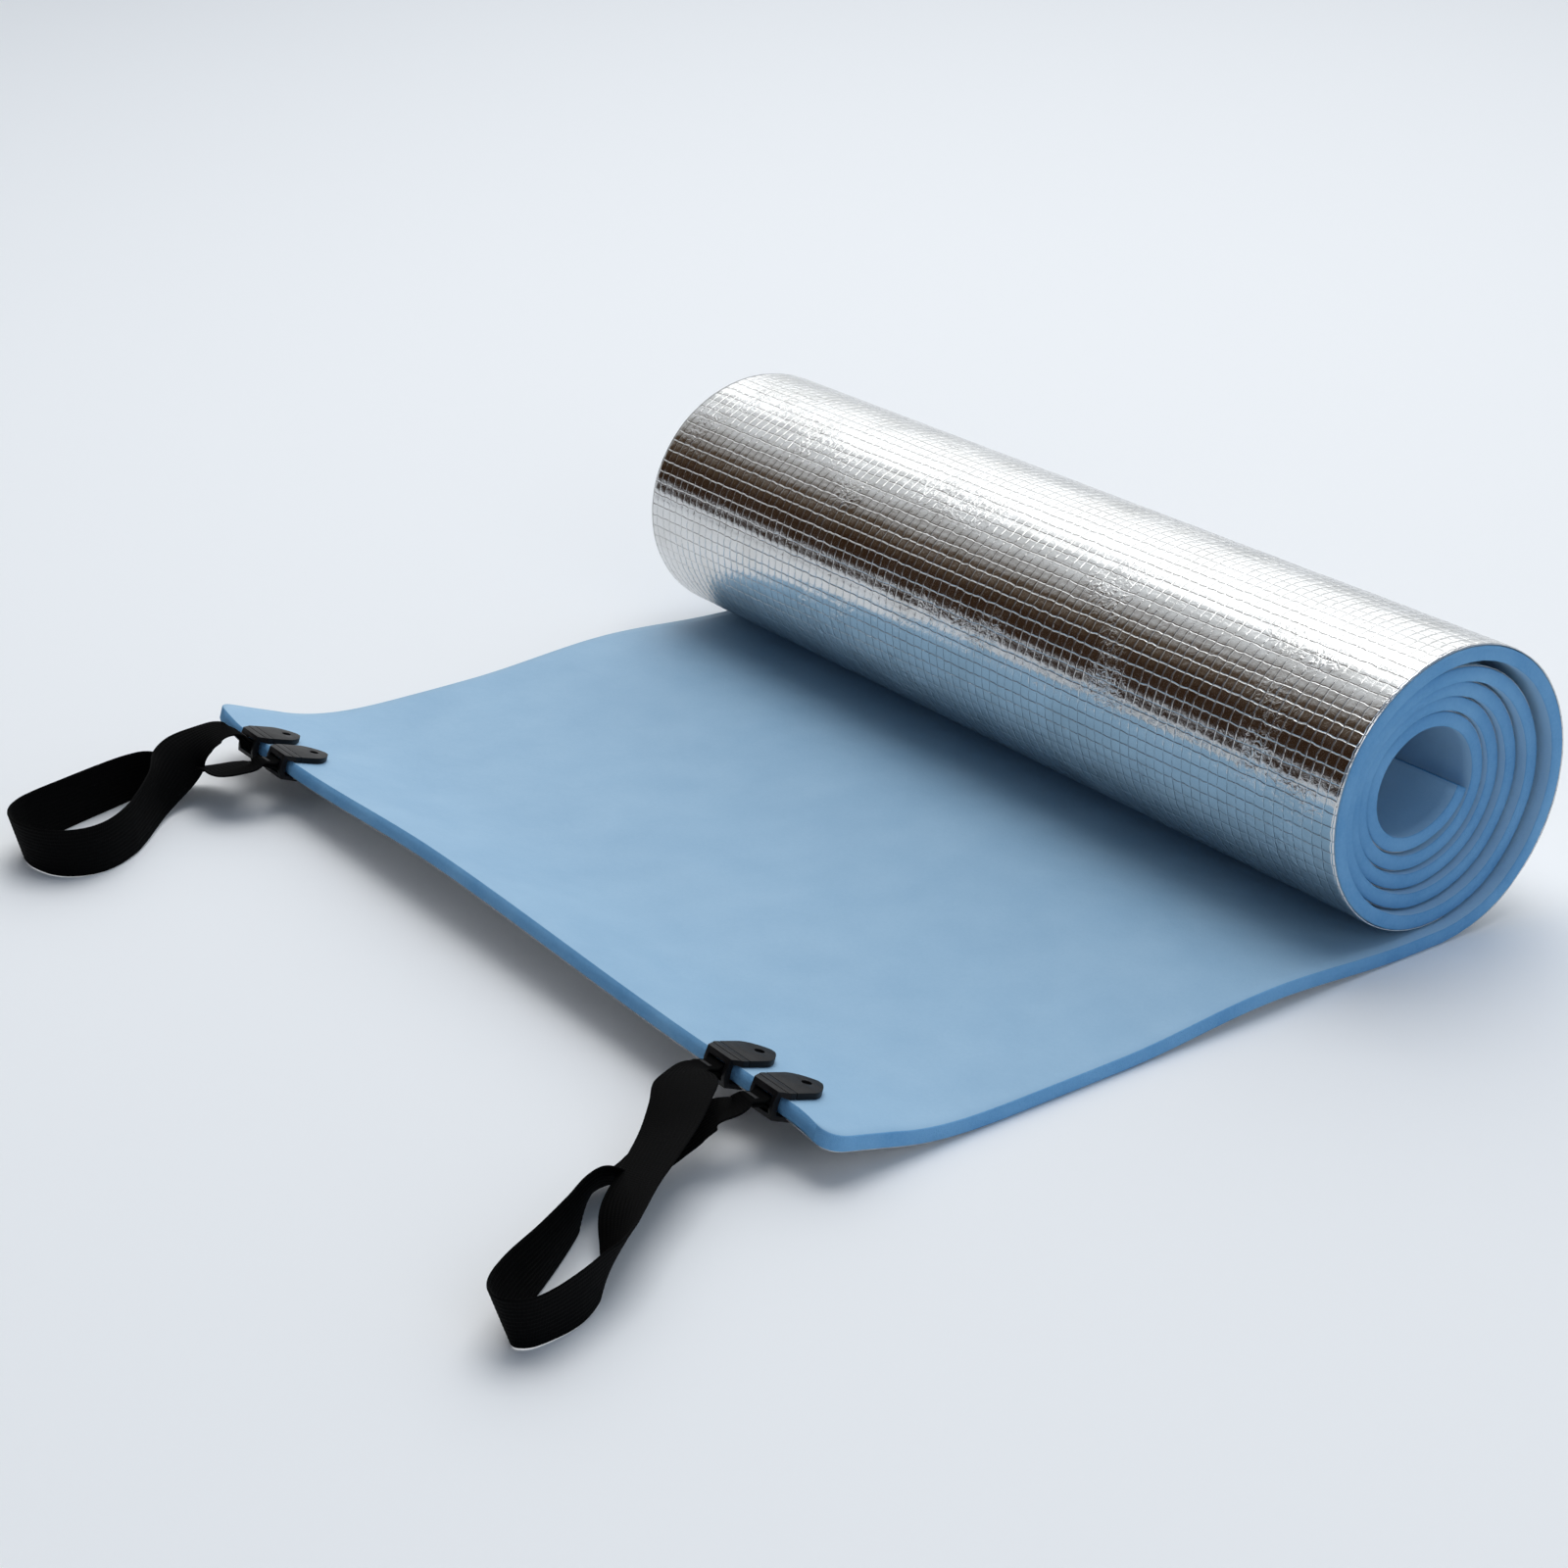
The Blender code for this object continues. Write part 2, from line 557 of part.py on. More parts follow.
def stand_at_origin():
    """Move everything so that the middle of the box's bottom is the origin."""
    corners = [thing.matrix_world @ vertex.co for thing in bpy.data.objects
               if thing.type == "MESH" and not thing.hide_render for vertex in thing.data.vertices]
    low = [min(corner[i] for corner in corners) for i in range(3)]
    high = [max(corner[i] for corner in corners) for i in range(3)]
    move = Vector((-(low[0] + high[0]) / 2, -(low[1] + high[1]) / 2, -low[2]))
    for thing in bpy.data.objects:
        if not thing.parent:
            thing.matrix_basis = Matrix.Translation(move) @ thing.matrix_basis
    bpy.context.view_layer.update()
    print("moved by", [round(value, 6) for value in move])
    print("size", [round(b - a, 5) for a, b in zip(low, high)])


build()
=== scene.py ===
# %% Load the frame
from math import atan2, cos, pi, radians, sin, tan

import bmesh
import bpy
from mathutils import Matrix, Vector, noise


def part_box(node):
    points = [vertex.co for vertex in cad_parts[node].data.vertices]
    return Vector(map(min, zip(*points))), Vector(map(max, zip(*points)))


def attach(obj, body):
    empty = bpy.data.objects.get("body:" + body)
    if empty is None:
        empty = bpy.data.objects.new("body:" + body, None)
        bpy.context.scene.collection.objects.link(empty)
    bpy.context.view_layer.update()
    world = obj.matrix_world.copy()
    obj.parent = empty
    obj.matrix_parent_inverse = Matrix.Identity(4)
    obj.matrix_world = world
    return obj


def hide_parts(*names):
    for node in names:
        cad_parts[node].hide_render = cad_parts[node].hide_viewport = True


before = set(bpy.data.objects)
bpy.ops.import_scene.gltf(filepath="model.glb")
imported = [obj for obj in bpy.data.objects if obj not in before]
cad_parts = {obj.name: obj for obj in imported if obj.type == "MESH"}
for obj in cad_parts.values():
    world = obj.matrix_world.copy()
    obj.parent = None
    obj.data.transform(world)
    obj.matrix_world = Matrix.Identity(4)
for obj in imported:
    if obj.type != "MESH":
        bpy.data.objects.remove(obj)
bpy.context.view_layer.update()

# %% [markdown]
# # A foam sleeping pad, half unrolled
#
# The pad is one long sheet of closed-cell foam with a metallised film on its underside. One end
# lies open on the floor and curls up at the front; the rest is rolled, with the film outside.
# Four snap clips grip the open edge, and each pair of clips carries a loop of elastic webbing.
# The CAD frame is loaded first, and every size below is either read from its boxes or repeats
# one of the driving dimensions that its shape follows.

MM = 0.001

PAD_THICK = 7 * MM
HALF = PAD_THICK / 2
CURL_SLOPE = radians(18.3)
film_low, film_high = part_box("foil_facing_open")
PAD_X = (film_low.x + film_high.x) / 2
FRONT_Y = film_low.y + HALF * sin(CURL_SLOPE)
PAD_WIDTH = film_high.x - film_low.x
ORIGIN = Vector((PAD_X, FRONT_Y, 0))
print("pad", round(PAD_WIDTH, 3), "wide, its front edge at y", round(FRONT_Y, 4))

# %% [markdown]
# ## Colours and a helper for nodes
#
# Colours are written as sRGB hex, as a paint program shows them, and Blender wants them linear,
# so one function turns them round. A second small function adds one shader or geometry node,
# sets its fields and makes its links. Everything else is written out where it is used.

# %% Colour and node helpers


def colour(text):
    """An sRGB hex colour as linear red, green, blue and alpha."""
    values = [int(text[i:i + 2], 16) / 255 for i in (1, 3, 5)]
    return tuple(v / 12.92 if v <= 0.04045 else ((v + 0.055) / 1.055) ** 2.4
                 for v in values) + (1.0,)


def node(tree, kind, settings=None, **links):
    """Add a node. settings are its own fields; links set or connect its inputs by name or, as
    in_2, by number."""
    made = tree.nodes.new(kind)
    for field, value in (settings or {}).items():
        setattr(made, field, value)
    for name, value in links.items():
        key = int(name[3:]) if name.startswith("in_") else name.replace("_", " ")
        socket = made.inputs[key]
        if isinstance(value, bpy.types.NodeSocket):
            tree.links.new(value, socket)
        else:
            socket.default_value = value
    return made


def new_material(name):
    """A material with only a Principled shader, as (material, tree, shader)."""
    made = bpy.data.materials.new(name)
    made.use_nodes = True
    shader = made.node_tree.nodes["Principled BSDF"]
    return made, made.node_tree, shader


# %% [markdown]
# ## The foam's two surfaces
#
# The flat faces of such foam are the skin it was cast or split with: smooth, half matt, pale
# blue with faint clouds. The cut edges show open cells, so they are darker and rougher. Both
# patterns are worked out in millimetres on object coordinates: clouds about 30 mm across, a
# grain of 1.5 mm, and cells of 0.9 mm on the skin and 0.5 mm on a cut.

# %% Foam materials


def foam_material(name, light, dark, cell, bump, roughness, specular):
    made, tree, shader = new_material(name)
    place = node(tree, "ShaderNodeTexCoord").outputs["Object"]
    clouds = node(tree, "ShaderNodeTexNoise", Vector=place, Scale=1 / 0.030, Detail=3.0)
    grain = node(tree, "ShaderNodeTexNoise", Vector=place, Scale=1 / 0.0015, Detail=2.0)
    both = node(tree, "ShaderNodeMath", {"operation": "MULTIPLY_ADD"},
                in_0=grain.outputs["Fac"], in_1=0.35, in_2=clouds.outputs["Fac"])
    ramp = node(tree, "ShaderNodeValToRGB", Fac=both.outputs[0])
    ramp.color_ramp.elements[0].position = 0.45
    ramp.color_ramp.elements[0].color = dark
    ramp.color_ramp.elements[1].position = 0.95
    ramp.color_ramp.elements[1].color = light
    tree.links.new(ramp.outputs["Color"], shader.inputs["Base Color"])
    cells = node(tree, "ShaderNodeTexVoronoi", Vector=place, Scale=1 / cell)
    relief = node(tree, "ShaderNodeBump", Height=cells.outputs["Distance"], Strength=bump,
                  Distance=0.0002)
    soft = node(tree, "ShaderNodeBump", Height=clouds.outputs["Fac"], Strength=0.25,
                Distance=0.004, Normal=relief.outputs["Normal"])
    tree.links.new(soft.outputs["Normal"], shader.inputs["Normal"])
    shader.inputs["Roughness"].default_value = roughness
    shader.inputs["Specular IOR Level"].default_value = specular
    return made


foam_skin = foam_material("blue foam, cast skin", colour("#9cbfd9"), colour("#92b7d3"),
                          0.0009, 0.25, 0.55, 0.3)
foam_cut = foam_material("blue foam, cut edge", colour("#7db0d8"), colour("#669dcb"),
                         0.0005, 0.9, 0.85, 0.12)
print("foam materials made")

# %% [markdown]
# ## The metallised film
#
# The film is polyethylene with vapour-deposited aluminium: a mirror that is never flat. It is
# shown as a metal with a low roughness that drifts, and with crinkles of about 3 mm in the bump
# that grow strong in patches 55 mm across. The embossed cells are real geometry further down.
# Their thin, slightly wavy grooves are finer than that mesh, so they are cut here in the bump,
# from the two distances that the mesh stores. Film without them gets no grooves.

# %% Film material
GRID_PITCH = 5.6 * MM
GROOVE_ALONG, GROOVE_ACROSS, GROOVE_DEPTH = 0.36 * MM, 0.55 * MM, 0.22 * MM
film, tree, shader = new_material("metallised film, embossed")
place = node(tree, "ShaderNodeTexCoord").outputs["Object"]
drift = node(tree, "ShaderNodeTexNoise", Vector=place, Scale=1 / 0.018, Detail=4.0)
rough = node(tree, "ShaderNodeMapRange", Value=drift.outputs["Fac"], in_3=0.10, in_4=0.24)
tree.links.new(rough.outputs["Result"], shader.inputs["Roughness"])
tint = node(tree, "ShaderNodeMix", {"data_type": "RGBA"}, Factor=drift.outputs["Fac"])
tint.inputs[6].default_value = colour("#c9c8c5")
tint.inputs[7].default_value = colour("#e3e4e5")
tree.links.new(tint.outputs[2], shader.inputs["Base Color"])
crinkle = node(tree, "ShaderNodeTexNoise", Vector=place, Scale=1 / 0.0035, Detail=4.0,
               Distortion=1.2)
patches = node(tree, "ShaderNodeTexNoise", Vector=place, Scale=1 / 0.055, Detail=2.0)
crushed = node(tree, "ShaderNodeMapRange", Value=patches.outputs["Fac"], in_1=0.54, in_2=0.66,
               in_3=0.25, in_4=1.6)
creased = node(tree, "ShaderNodeMath", {"operation": "MULTIPLY"}, in_0=crinkle.outputs["Fac"],
               in_1=crushed.outputs["Result"])
dents = node(tree, "ShaderNodeBump", Height=creased.outputs[0], Strength=0.8, Distance=0.0006)
wobble = node(tree, "ShaderNodeTexNoise", Vector=place, Scale=1 / 0.005, Detail=1.0)
lines = []
for title, half_groove in (("along", GROOVE_ALONG), ("across", GROOVE_ACROSS)):
    distance = node(tree, "ShaderNodeAttribute", {"attribute_name": title})
    shifted = node(tree, "ShaderNodeMath", {"operation": "MULTIPLY_ADD"},
                   in_0=wobble.outputs["Fac"], in_1=0.0014, in_2=distance.outputs["Fac"])
    offset = node(tree, "ShaderNodeMath", {"operation": "PINGPONG"}, in_0=shifted.outputs[0],
                  in_1=GRID_PITCH / 2)
    edge = node(tree, "ShaderNodeMapRange", {"interpolation_type": "SMOOTHSTEP"},
                Value=offset.outputs[0], in_1=0.0, in_2=half_groove, in_3=0.0, in_4=1.0)
    lines.append(edge.outputs["Result"])
pressed = node(tree, "ShaderNodeMath", {"operation": "MINIMUM"}, in_0=lines[0], in_1=lines[1])
grooves = node(tree, "ShaderNodeBump", Height=pressed.outputs[0], Strength=0.75,
               Distance=GROOVE_DEPTH, Normal=dents.outputs["Normal"])
tree.links.new(grooves.outputs["Normal"], shader.inputs["Normal"])
shader.inputs["Metallic"].default_value = 1.0

# %% [markdown]
# ## The black parts
#
# Clips are moulded in black plastic with a fine spark-eroded texture. The webbing is black
# polyester over rubber: its weave follows the ribbon, so it reads the piece's own UV map, which
# is in metres along and across. The thread of the bar tacks has a slight sheen.

# %% Plastic, webbing and thread materials
plastic, tree, shader = new_material("black plastic, moulded")
place = node(tree, "ShaderNodeTexCoord").outputs["Object"]
grain = node(tree, "ShaderNodeTexNoise", Vector=place, Scale=1 / 0.0004, Detail=2.0)
scuffs = node(tree, "ShaderNodeTexNoise", Vector=place, Scale=1 / 0.006, Detail=5.0)
rough = node(tree, "ShaderNodeMapRange", Value=scuffs.outputs["Fac"], in_3=0.38, in_4=0.56)
tree.links.new(rough.outputs["Result"], shader.inputs["Roughness"])
dents = node(tree, "ShaderNodeBump", Height=grain.outputs["Fac"], Strength=0.3,
             Distance=0.00008)
tree.links.new(dents.outputs["Normal"], shader.inputs["Normal"])
shade = node(tree, "ShaderNodeMix", {"data_type": "RGBA"}, Factor=scuffs.outputs["Fac"])
shade.inputs[6].default_value = colour("#09090a")
shade.inputs[7].default_value = colour("#151416")
tree.links.new(shade.outputs[2], shader.inputs["Base Color"])
shader.inputs["Specular IOR Level"].default_value = 0.16

webbing, tree, shader = new_material("black elastic webbing, woven")
weave_at = node(tree, "ShaderNodeUVMap", {"uv_map": "weave"}).outputs["UV"]
rows = node(tree, "ShaderNodeMapping", Vector=weave_at)
rows.inputs["Scale"].default_value = (1 / 0.0011, 1 / 0.0006, 1)
picks = node(tree, "ShaderNodeTexWave", {"bands_direction": "X"}, Vector=rows.outputs[0],
             Scale=0.314, Distortion=0.6)
fuzz = node(tree, "ShaderNodeTexNoise", Vector=rows.outputs[0], Scale=1.0, Detail=3.0)
mixed = node(tree, "ShaderNodeMath", {"operation": "MULTIPLY"}, in_0=picks.outputs["Fac"],
             in_1=fuzz.outputs["Fac"])
yarns = node(tree, "ShaderNodeBump", Height=mixed.outputs[0], Strength=0.6, Distance=0.0002)
tree.links.new(yarns.outputs["Normal"], shader.inputs["Normal"])
shade = node(tree, "ShaderNodeMix", {"data_type": "RGBA"}, Factor=mixed.outputs[0])
shade.inputs[6].default_value = colour("#030303")
shade.inputs[7].default_value = colour("#090808")
tree.links.new(shade.outputs[2], shader.inputs["Base Color"])
shader.inputs["Roughness"].default_value = 0.82
shader.inputs["Specular IOR Level"].default_value = 0.06

thread, tree, shader = new_material("black sewing thread")
place = node(tree, "ShaderNodeTexCoord").outputs["Object"]
twist = node(tree, "ShaderNodeTexNoise", Vector=place, Scale=1 / 0.0003)
dents = node(tree, "ShaderNodeBump", Height=twist.outputs["Fac"], Strength=0.5,
             Distance=0.00005)
tree.links.new(dents.outputs["Normal"], shader.inputs["Normal"])
shader.inputs["Base Color"].default_value = colour("#141214")
shader.inputs["Roughness"].default_value = 0.6
print("black materials made")

# %% [markdown]
# ## The pad's middle line
#
# Foam and film follow one line, seen from the side. It starts at the front edge, falls in a
# straight slope that the clips hold, flattens on the floor, rises in a low hump and then winds
# up as a spiral. The spiral counts its turns outwards, so the inner end is near turn 0. The
# functions repeat the CAD model's, and only the steps are finer here.

# %% Side profile
CURL_HEIGHT = 18.9 * MM
CURL_STRAIGHT, CURL_END = 34 * MM, 95 * MM
HUMP_START, HUMP_END, HUMP_HEIGHT = 145 * MM, 310 * MM, 4.4 * MM
ROLL_Y = 329 * MM
TURNS, TIP_TURN = 5.25, 0.046
CORE_RADIUS, PITCH, LOOSENESS = 25.8 * MM, 7.5 * MM, 2.6 * MM
SAG, CORE_HEIGHT, TELESCOPE = 1.3 * MM, 68 * MM, 18 * MM
TIP_CURL, TIP_CURL_TURNS, LOOSE_FROM = 1.4 * MM, 0.3, 3.5
FAR_HELD, NEAR_HELD, CREST_AT = (-221 * MM, -164 * MM), (168 * MM, 229 * MM), -35 * MM
FAR_CORNER_LIFT, CREST_LIFT, NEAR_CORNER_LIFT = 4.5 * MM, 4.6 * MM, -3.5 * MM
CORNER = 9 * MM
CORNER_STEPS = 7


def smooth(t):
    t = min(max(t, 0.0), 1.0)
    return t * t * (3 - 2 * t)


def flat_height(y):
    """Height of the middle line above the floor in the open part."""
    slope = tan(CURL_SLOPE)
    front = CURL_HEIGHT + HALF
    if y <= CURL_STRAIGHT:
        return front - slope * y
    if y <= CURL_END:
        held = front - slope * CURL_STRAIGHT
        span = CURL_END - CURL_STRAIGHT
        t = (y - CURL_STRAIGHT) / span
        return ((1 + 2 * t) * (1 - t) ** 2 * held + t * t * (3 - 2 * t) * HALF
                - t * (1 - t) ** 2 * span * slope)
    if HUMP_START < y < HUMP_END:
        turn = 2 * pi * (y - HUMP_START) / (HUMP_END - HUMP_START)
        return HALF + HUMP_HEIGHT * (1 - cos(turn)) / 2
    return HALF


def looseness(turn):
    """How far the winding has loosened at a turn: 0 inside, 1 at the outermost turn."""
    return smooth((turn - LOOSE_FROM) / (TURNS - LOOSE_FROM))


def roll_radius(turn):
    tip = TIP_CURL * sin(pi * min(max((turn - TIP_TURN) / TIP_CURL_TURNS, 0), 1))
    return CORE_RADIUS + PITCH * turn + LOOSENESS * looseness(turn) - tip


def roll_point(turn):
    outer_centre = HALF + roll_radius(TURNS) - SAG
    height = CORE_HEIGHT + (outer_centre - CORE_HEIGHT) * looseness(turn)
    angle = -pi / 2 + (TURNS - turn) * 2 * pi
    radius = roll_radius(turn)
    return ROLL_Y + (radius + SAG) * cos(angle), height + (radius - SAG) * sin(angle)


def lift(x, y):
    """How the free front edge waves across the width, between and beside the clips."""
    outer_far, inner_far = FAR_HELD
    inner_near, outer_near = NEAR_HELD
    edge = PAD_WIDTH / 2
    if x < outer_far:
        amount = FAR_CORNER_LIFT * smooth((outer_far - x) / (edge + outer_far))
    elif x > outer_near:
        amount = NEAR_CORNER_LIFT * smooth((x - outer_near) / (edge - outer_near))
    elif inner_far < x < CREST_AT:
        amount = CREST_LIFT * smooth((x - inner_far) / (CREST_AT - inner_far))
    elif CREST_AT <= x < inner_near:
        amount = CREST_LIFT * smooth((inner_near - x) / (inner_near - CREST_AT))
    else:
        amount = 0.0
    return amount * max(0.0, 1 - y / CURL_END) ** 2


LEAVE_TURN = TURNS - atan2(PITCH / (2 * pi), roll_radius(TURNS)) / (2 * pi)


def corner_cut(y):
    """How much narrower each side is at y, where the front corners are rounded off."""
    return CORNER - (CORNER ** 2 - max(CORNER - y, 0) ** 2) ** 0.5


def line_places(open_step, turn_step, last_turn=TIP_TURN, first_turn=LEAVE_TURN):
    """(y, z, sideways shift, is it open) along the pad from its front edge inwards."""
    found = []
    if first_turn == LEAVE_TURN:
        count = round((HUMP_END - CORNER) / open_step)
        ys = [CORNER * (1 - cos(pi / 2 * i / CORNER_STEPS)) for i in range(CORNER_STEPS)]
        ys += [CORNER + (HUMP_END - CORNER) * i / count for i in range(count + 1)]
        found = [(y, flat_height(y), 0.0, True) for y in ys]
    count = round((first_turn - last_turn) / turn_step)
    for i in range(count + 1):
        turn = first_turn + (last_turn - first_turn) * i / count
        y, z = roll_point(turn)
        found.append((y, z, -TELESCOPE * (1 - (turn / TURNS) ** 2), False))
    return found


def upward(places):
    """Unit normals of the middle line, towards the foam's face."""
    found = []
    last = len(places) - 1
    for i, (y, z, _, is_open) in enumerate(places):
        before, after = places[max(i - 1, 0)], places[min(i + 1, last)]
        dy, dz = after[0] - before[0], after[1] - before[1]
        if is_open and y <= CURL_STRAIGHT:
            dy, dz = cos(CURL_SLOPE), -sin(CURL_SLOPE)
        length = (dy * dy + dz * dz) ** 0.5
        found.append((-dz / length, dy / length))
    return found


print("the spiral leaves the floor at turn", round(LEAVE_TURN, 3))

# %% [markdown]
# ## Building a closed sheet along that line
#
# A sheet is a closed strip between two heights from the middle line. Its section is a flat
# rectangle with slightly eased corners, swept along the line. Each section is a ring of points,
# rings are joined by quads, and both ends are capped. The open part and the roll use the same
# number of points, so that the mesh has no seams. The faces on the cut sides get the second
# material.

# %% Sheet builder
RIPPLE_SIZE, SWAY_SIZE, SWAY_LAYER = 70 * MM, 30 * MM, 4.0


def mesh_object(name, bm, materials):
    """A mesh object at the origin, smooth, from a bmesh in the pad's own coordinates."""
    bmesh.ops.recalc_face_normals(bm, faces=bm.faces)
    mesh = bpy.data.meshes.new(name)
    bm.to_mesh(mesh)
    bm.free()
    for item in materials:
        mesh.materials.append(item)
    mesh.shade_smooth()
    made = bpy.data.objects.new(name, mesh)
    bpy.context.collection.objects.link(made)
    return made


def section(width, columns, low, high, ease):
    """Points (x, height) round a sheet's section, and for each edge whether it is a cut side."""
    half = width / 2
    top = [(-half + ease + (width - 2 * ease) * i / columns, high) for i in range(columns + 1)]
    right = [(half, high - ease), (half, low + ease)]
    bottom = [(half - ease - (width - 2 * ease) * i / columns, low) for i in range(columns + 1)]
    left = [(-half, low + ease), (-half, high - ease)]
    points = top + right + bottom + left
    count = columns + 1
    cut = {count - 1, count, count + 1, 2 * count + 1, 2 * count + 2, 2 * count + 3}
    return points, cut


def sheet_mesh(places, outline, cut, ripple=0.0):
    """A closed sheet along the places, with section outline, as a bmesh."""
    bm = bmesh.new()
    rings = []
    for (y, z, shift, is_open), (ny, nz) in zip(places, upward(places)):
        ring = []
        narrow = 1 - corner_cut(y) / (PAD_WIDTH / 2) if is_open else 1.0
        for full_x, height in outline:
            x = full_x * narrow
            raised = lift(x, y) if is_open else 0.0
            wave = ripple * noise.noise(Vector((x, y, z)) / RIPPLE_SIZE)
            sway = ripple * noise.noise(Vector((y / SWAY_SIZE, z / SWAY_SIZE, SWAY_LAYER)))
            far = height + (wave if is_open and y > CURL_STRAIGHT and height > 0 else 0)
            ring.append(bm.verts.new(ORIGIN + Vector((x + shift + (0 if is_open else sway),
                                                      y + ny * far, z + nz * far + raised))))
        rings.append(ring)
    count = len(outline)
    for one, two in zip(rings, rings[1:]):
        for i in range(count):
            j = (i + 1) % count
            face = bm.faces.new((one[i], one[j], two[j], two[i]))
            face.material_index = 1 if i in cut else 0
    for end in (rings[0], rings[-1]):
        face = bm.faces.new(end)
        face.material_index = 1
        bmesh.ops.triangulate(bm, faces=[face])
    return bm


# %% [markdown]
# ## The foam
#
# The real piece is 6.5 mm of foam. It could be a flat sheet bent by a Curve modifier, but that
# stretches the inside of a tight roll, so it is swept instead. Steps are 3 mm in the open part
# and a fiftieth of a turn in the roll. Low ripples stop the open face from looking ruled, and
# sway the cut edges of the roll a little.

# %% Foam mat
FILM_THICK = 0.25 * MM
FOAM_LOW = -HALF + 2 * FILM_THICK
FOAM_COLUMNS, FOAM_EASE, RIPPLE = 84, 0.5 * MM, 0.7 * MM
OPEN_STEP, FOAM_TURN_STEP = 3 * MM, 1 / 50
outline, cut = section(PAD_WIDTH, FOAM_COLUMNS, FOAM_LOW, HALF, FOAM_EASE)
foam_mesh = sheet_mesh(line_places(OPEN_STEP, FOAM_TURN_STEP), outline, cut, RIPPLE)
foam = mesh_object("foam_mat_fine", foam_mesh, [foam_skin, foam_cut])
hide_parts("foam_mat")
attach(foam, "mat")
print("foam mat:", len(foam.data.polygons), "faces")

# %% [markdown]
# ## The film and its embossed grid
#
# The film covers the whole underside, which is the outside of the roll. Only the outermost turn
# shows its face, so only that turn has the embossed grid: cells 5.6 mm each way, with sunk lines
# between them. A Geometry Nodes tree raises the cells: it reads two attributes, the distances
# along and across the film, and moves a point outwards unless either is near a multiple of the
# pitch. A noise adds the slow unevenness of a film that has been handled. The film under the open
# part and inside the roll is plain, and all of it stops just short of the foam's cut edges.

# %% Film sheets
TURN_STEP = 1 / 56
OPEN_FILM_STEP, FILM_COLUMNS, FILM_EASE = 8 * MM, 30, 0.06 * MM
PLAIN_INSET, WRAP_INSET = 2 * MM, 1.2 * MM
EMBOSSED_TURNS, SPLIT_TURN = 1.02, 0.0008
plain_outline, _ = section(PAD_WIDTH - PLAIN_INSET, FILM_COLUMNS, -HALF, -HALF + FILM_THICK,
                           FILM_EASE)
joint_turn = LEAVE_TURN - EMBOSSED_TURNS
film_turn = LEAVE_TURN - 2 * TURN_STEP
open_film = sheet_mesh(line_places(OPEN_FILM_STEP, TURN_STEP, last_turn=film_turn),
                       plain_outline, set())
open_film = mesh_object("film_under_open_part", open_film, [film])
inner_film = mesh_object("film_inside_roll",
                         sheet_mesh(line_places(0, TURN_STEP, first_turn=joint_turn),
                                    plain_outline, set()), [film])

CELL_STEPS = 3
FADE_IN, HIDDEN_AT = 14 * MM, 412 * MM
outer_radius = roll_radius(TURNS) + HALF
turn_length = 2 * pi * outer_radius
fine_step = GRID_PITCH / CELL_STEPS / turn_length
wrap_places = line_places(0, fine_step, last_turn=joint_turn + fine_step / 2,
                          first_turn=film_turn - SPLIT_TURN)
columns = round(PAD_WIDTH / GRID_PITCH) * CELL_STEPS


def wrap_mesh(places, width, columns):
    """The outer turn as a thin closed sheet, with its distances along and across stored."""
    bm = bmesh.new()
    along_layer = bm.verts.layers.float.new("along")
    across_layer = bm.verts.layers.float.new("across")
    face_layer = bm.verts.layers.float.new("outer")
    rows = []
    travelled = 0.0
    before = places[0]
    for (y, z, shift, _), (ny, nz) in zip(places, upward(places)):
        travelled += ((y - before[0]) ** 2 + (z - before[1]) ** 2) ** 0.5
        before = (y, z)
        free = smooth(travelled / FADE_IN) * smooth((HIDDEN_AT - travelled) / FADE_IN)
        pair = []
        for height, outer in ((-HALF, free), (-HALF + FILM_THICK, 0.0)):
            line = []
            steps = columns if height == -HALF else columns // CELL_STEPS
            for i in range(steps + 1):
                x = width * (i / steps - 0.5)
                vert = bm.verts.new(ORIGIN + Vector((x + shift, y + ny * height,
                                                     z + nz * height)))
                vert[along_layer] = travelled
                vert[across_layer] = width * i / steps
                vert[face_layer] = outer
                line.append(vert)
            pair.append(line)
        rows.append(pair)
    for (out_a, in_a), (out_b, in_b) in zip(rows, rows[1:]):
        for i in range(len(out_a) - 1):
            bm.faces.new((out_a[i], out_b[i], out_b[i + 1], out_a[i + 1]))
        for i in range(len(in_a) - 1):
            bm.faces.new((in_a[i], in_a[i + 1], in_b[i + 1], in_b[i]))
        bm.faces.new((out_a[0], in_a[0], in_b[0], out_b[0]))
        bm.faces.new((out_a[-1], out_b[-1], in_b[-1], in_a[-1]))
    for out_line, in_line in (rows[0], rows[-1]):
        bm.faces.new(out_line + in_line[::-1])
    bmesh.ops.triangulate(bm, faces=[f for f in bm.faces if len(f.verts) > 4])
    return bm


outer_film = mesh_object("film_round_roll",
                         wrap_mesh(wrap_places, PAD_WIDTH - WRAP_INSET, columns), [film])
print("film round the roll:", len(outer_film.data.polygons), "faces before embossing")

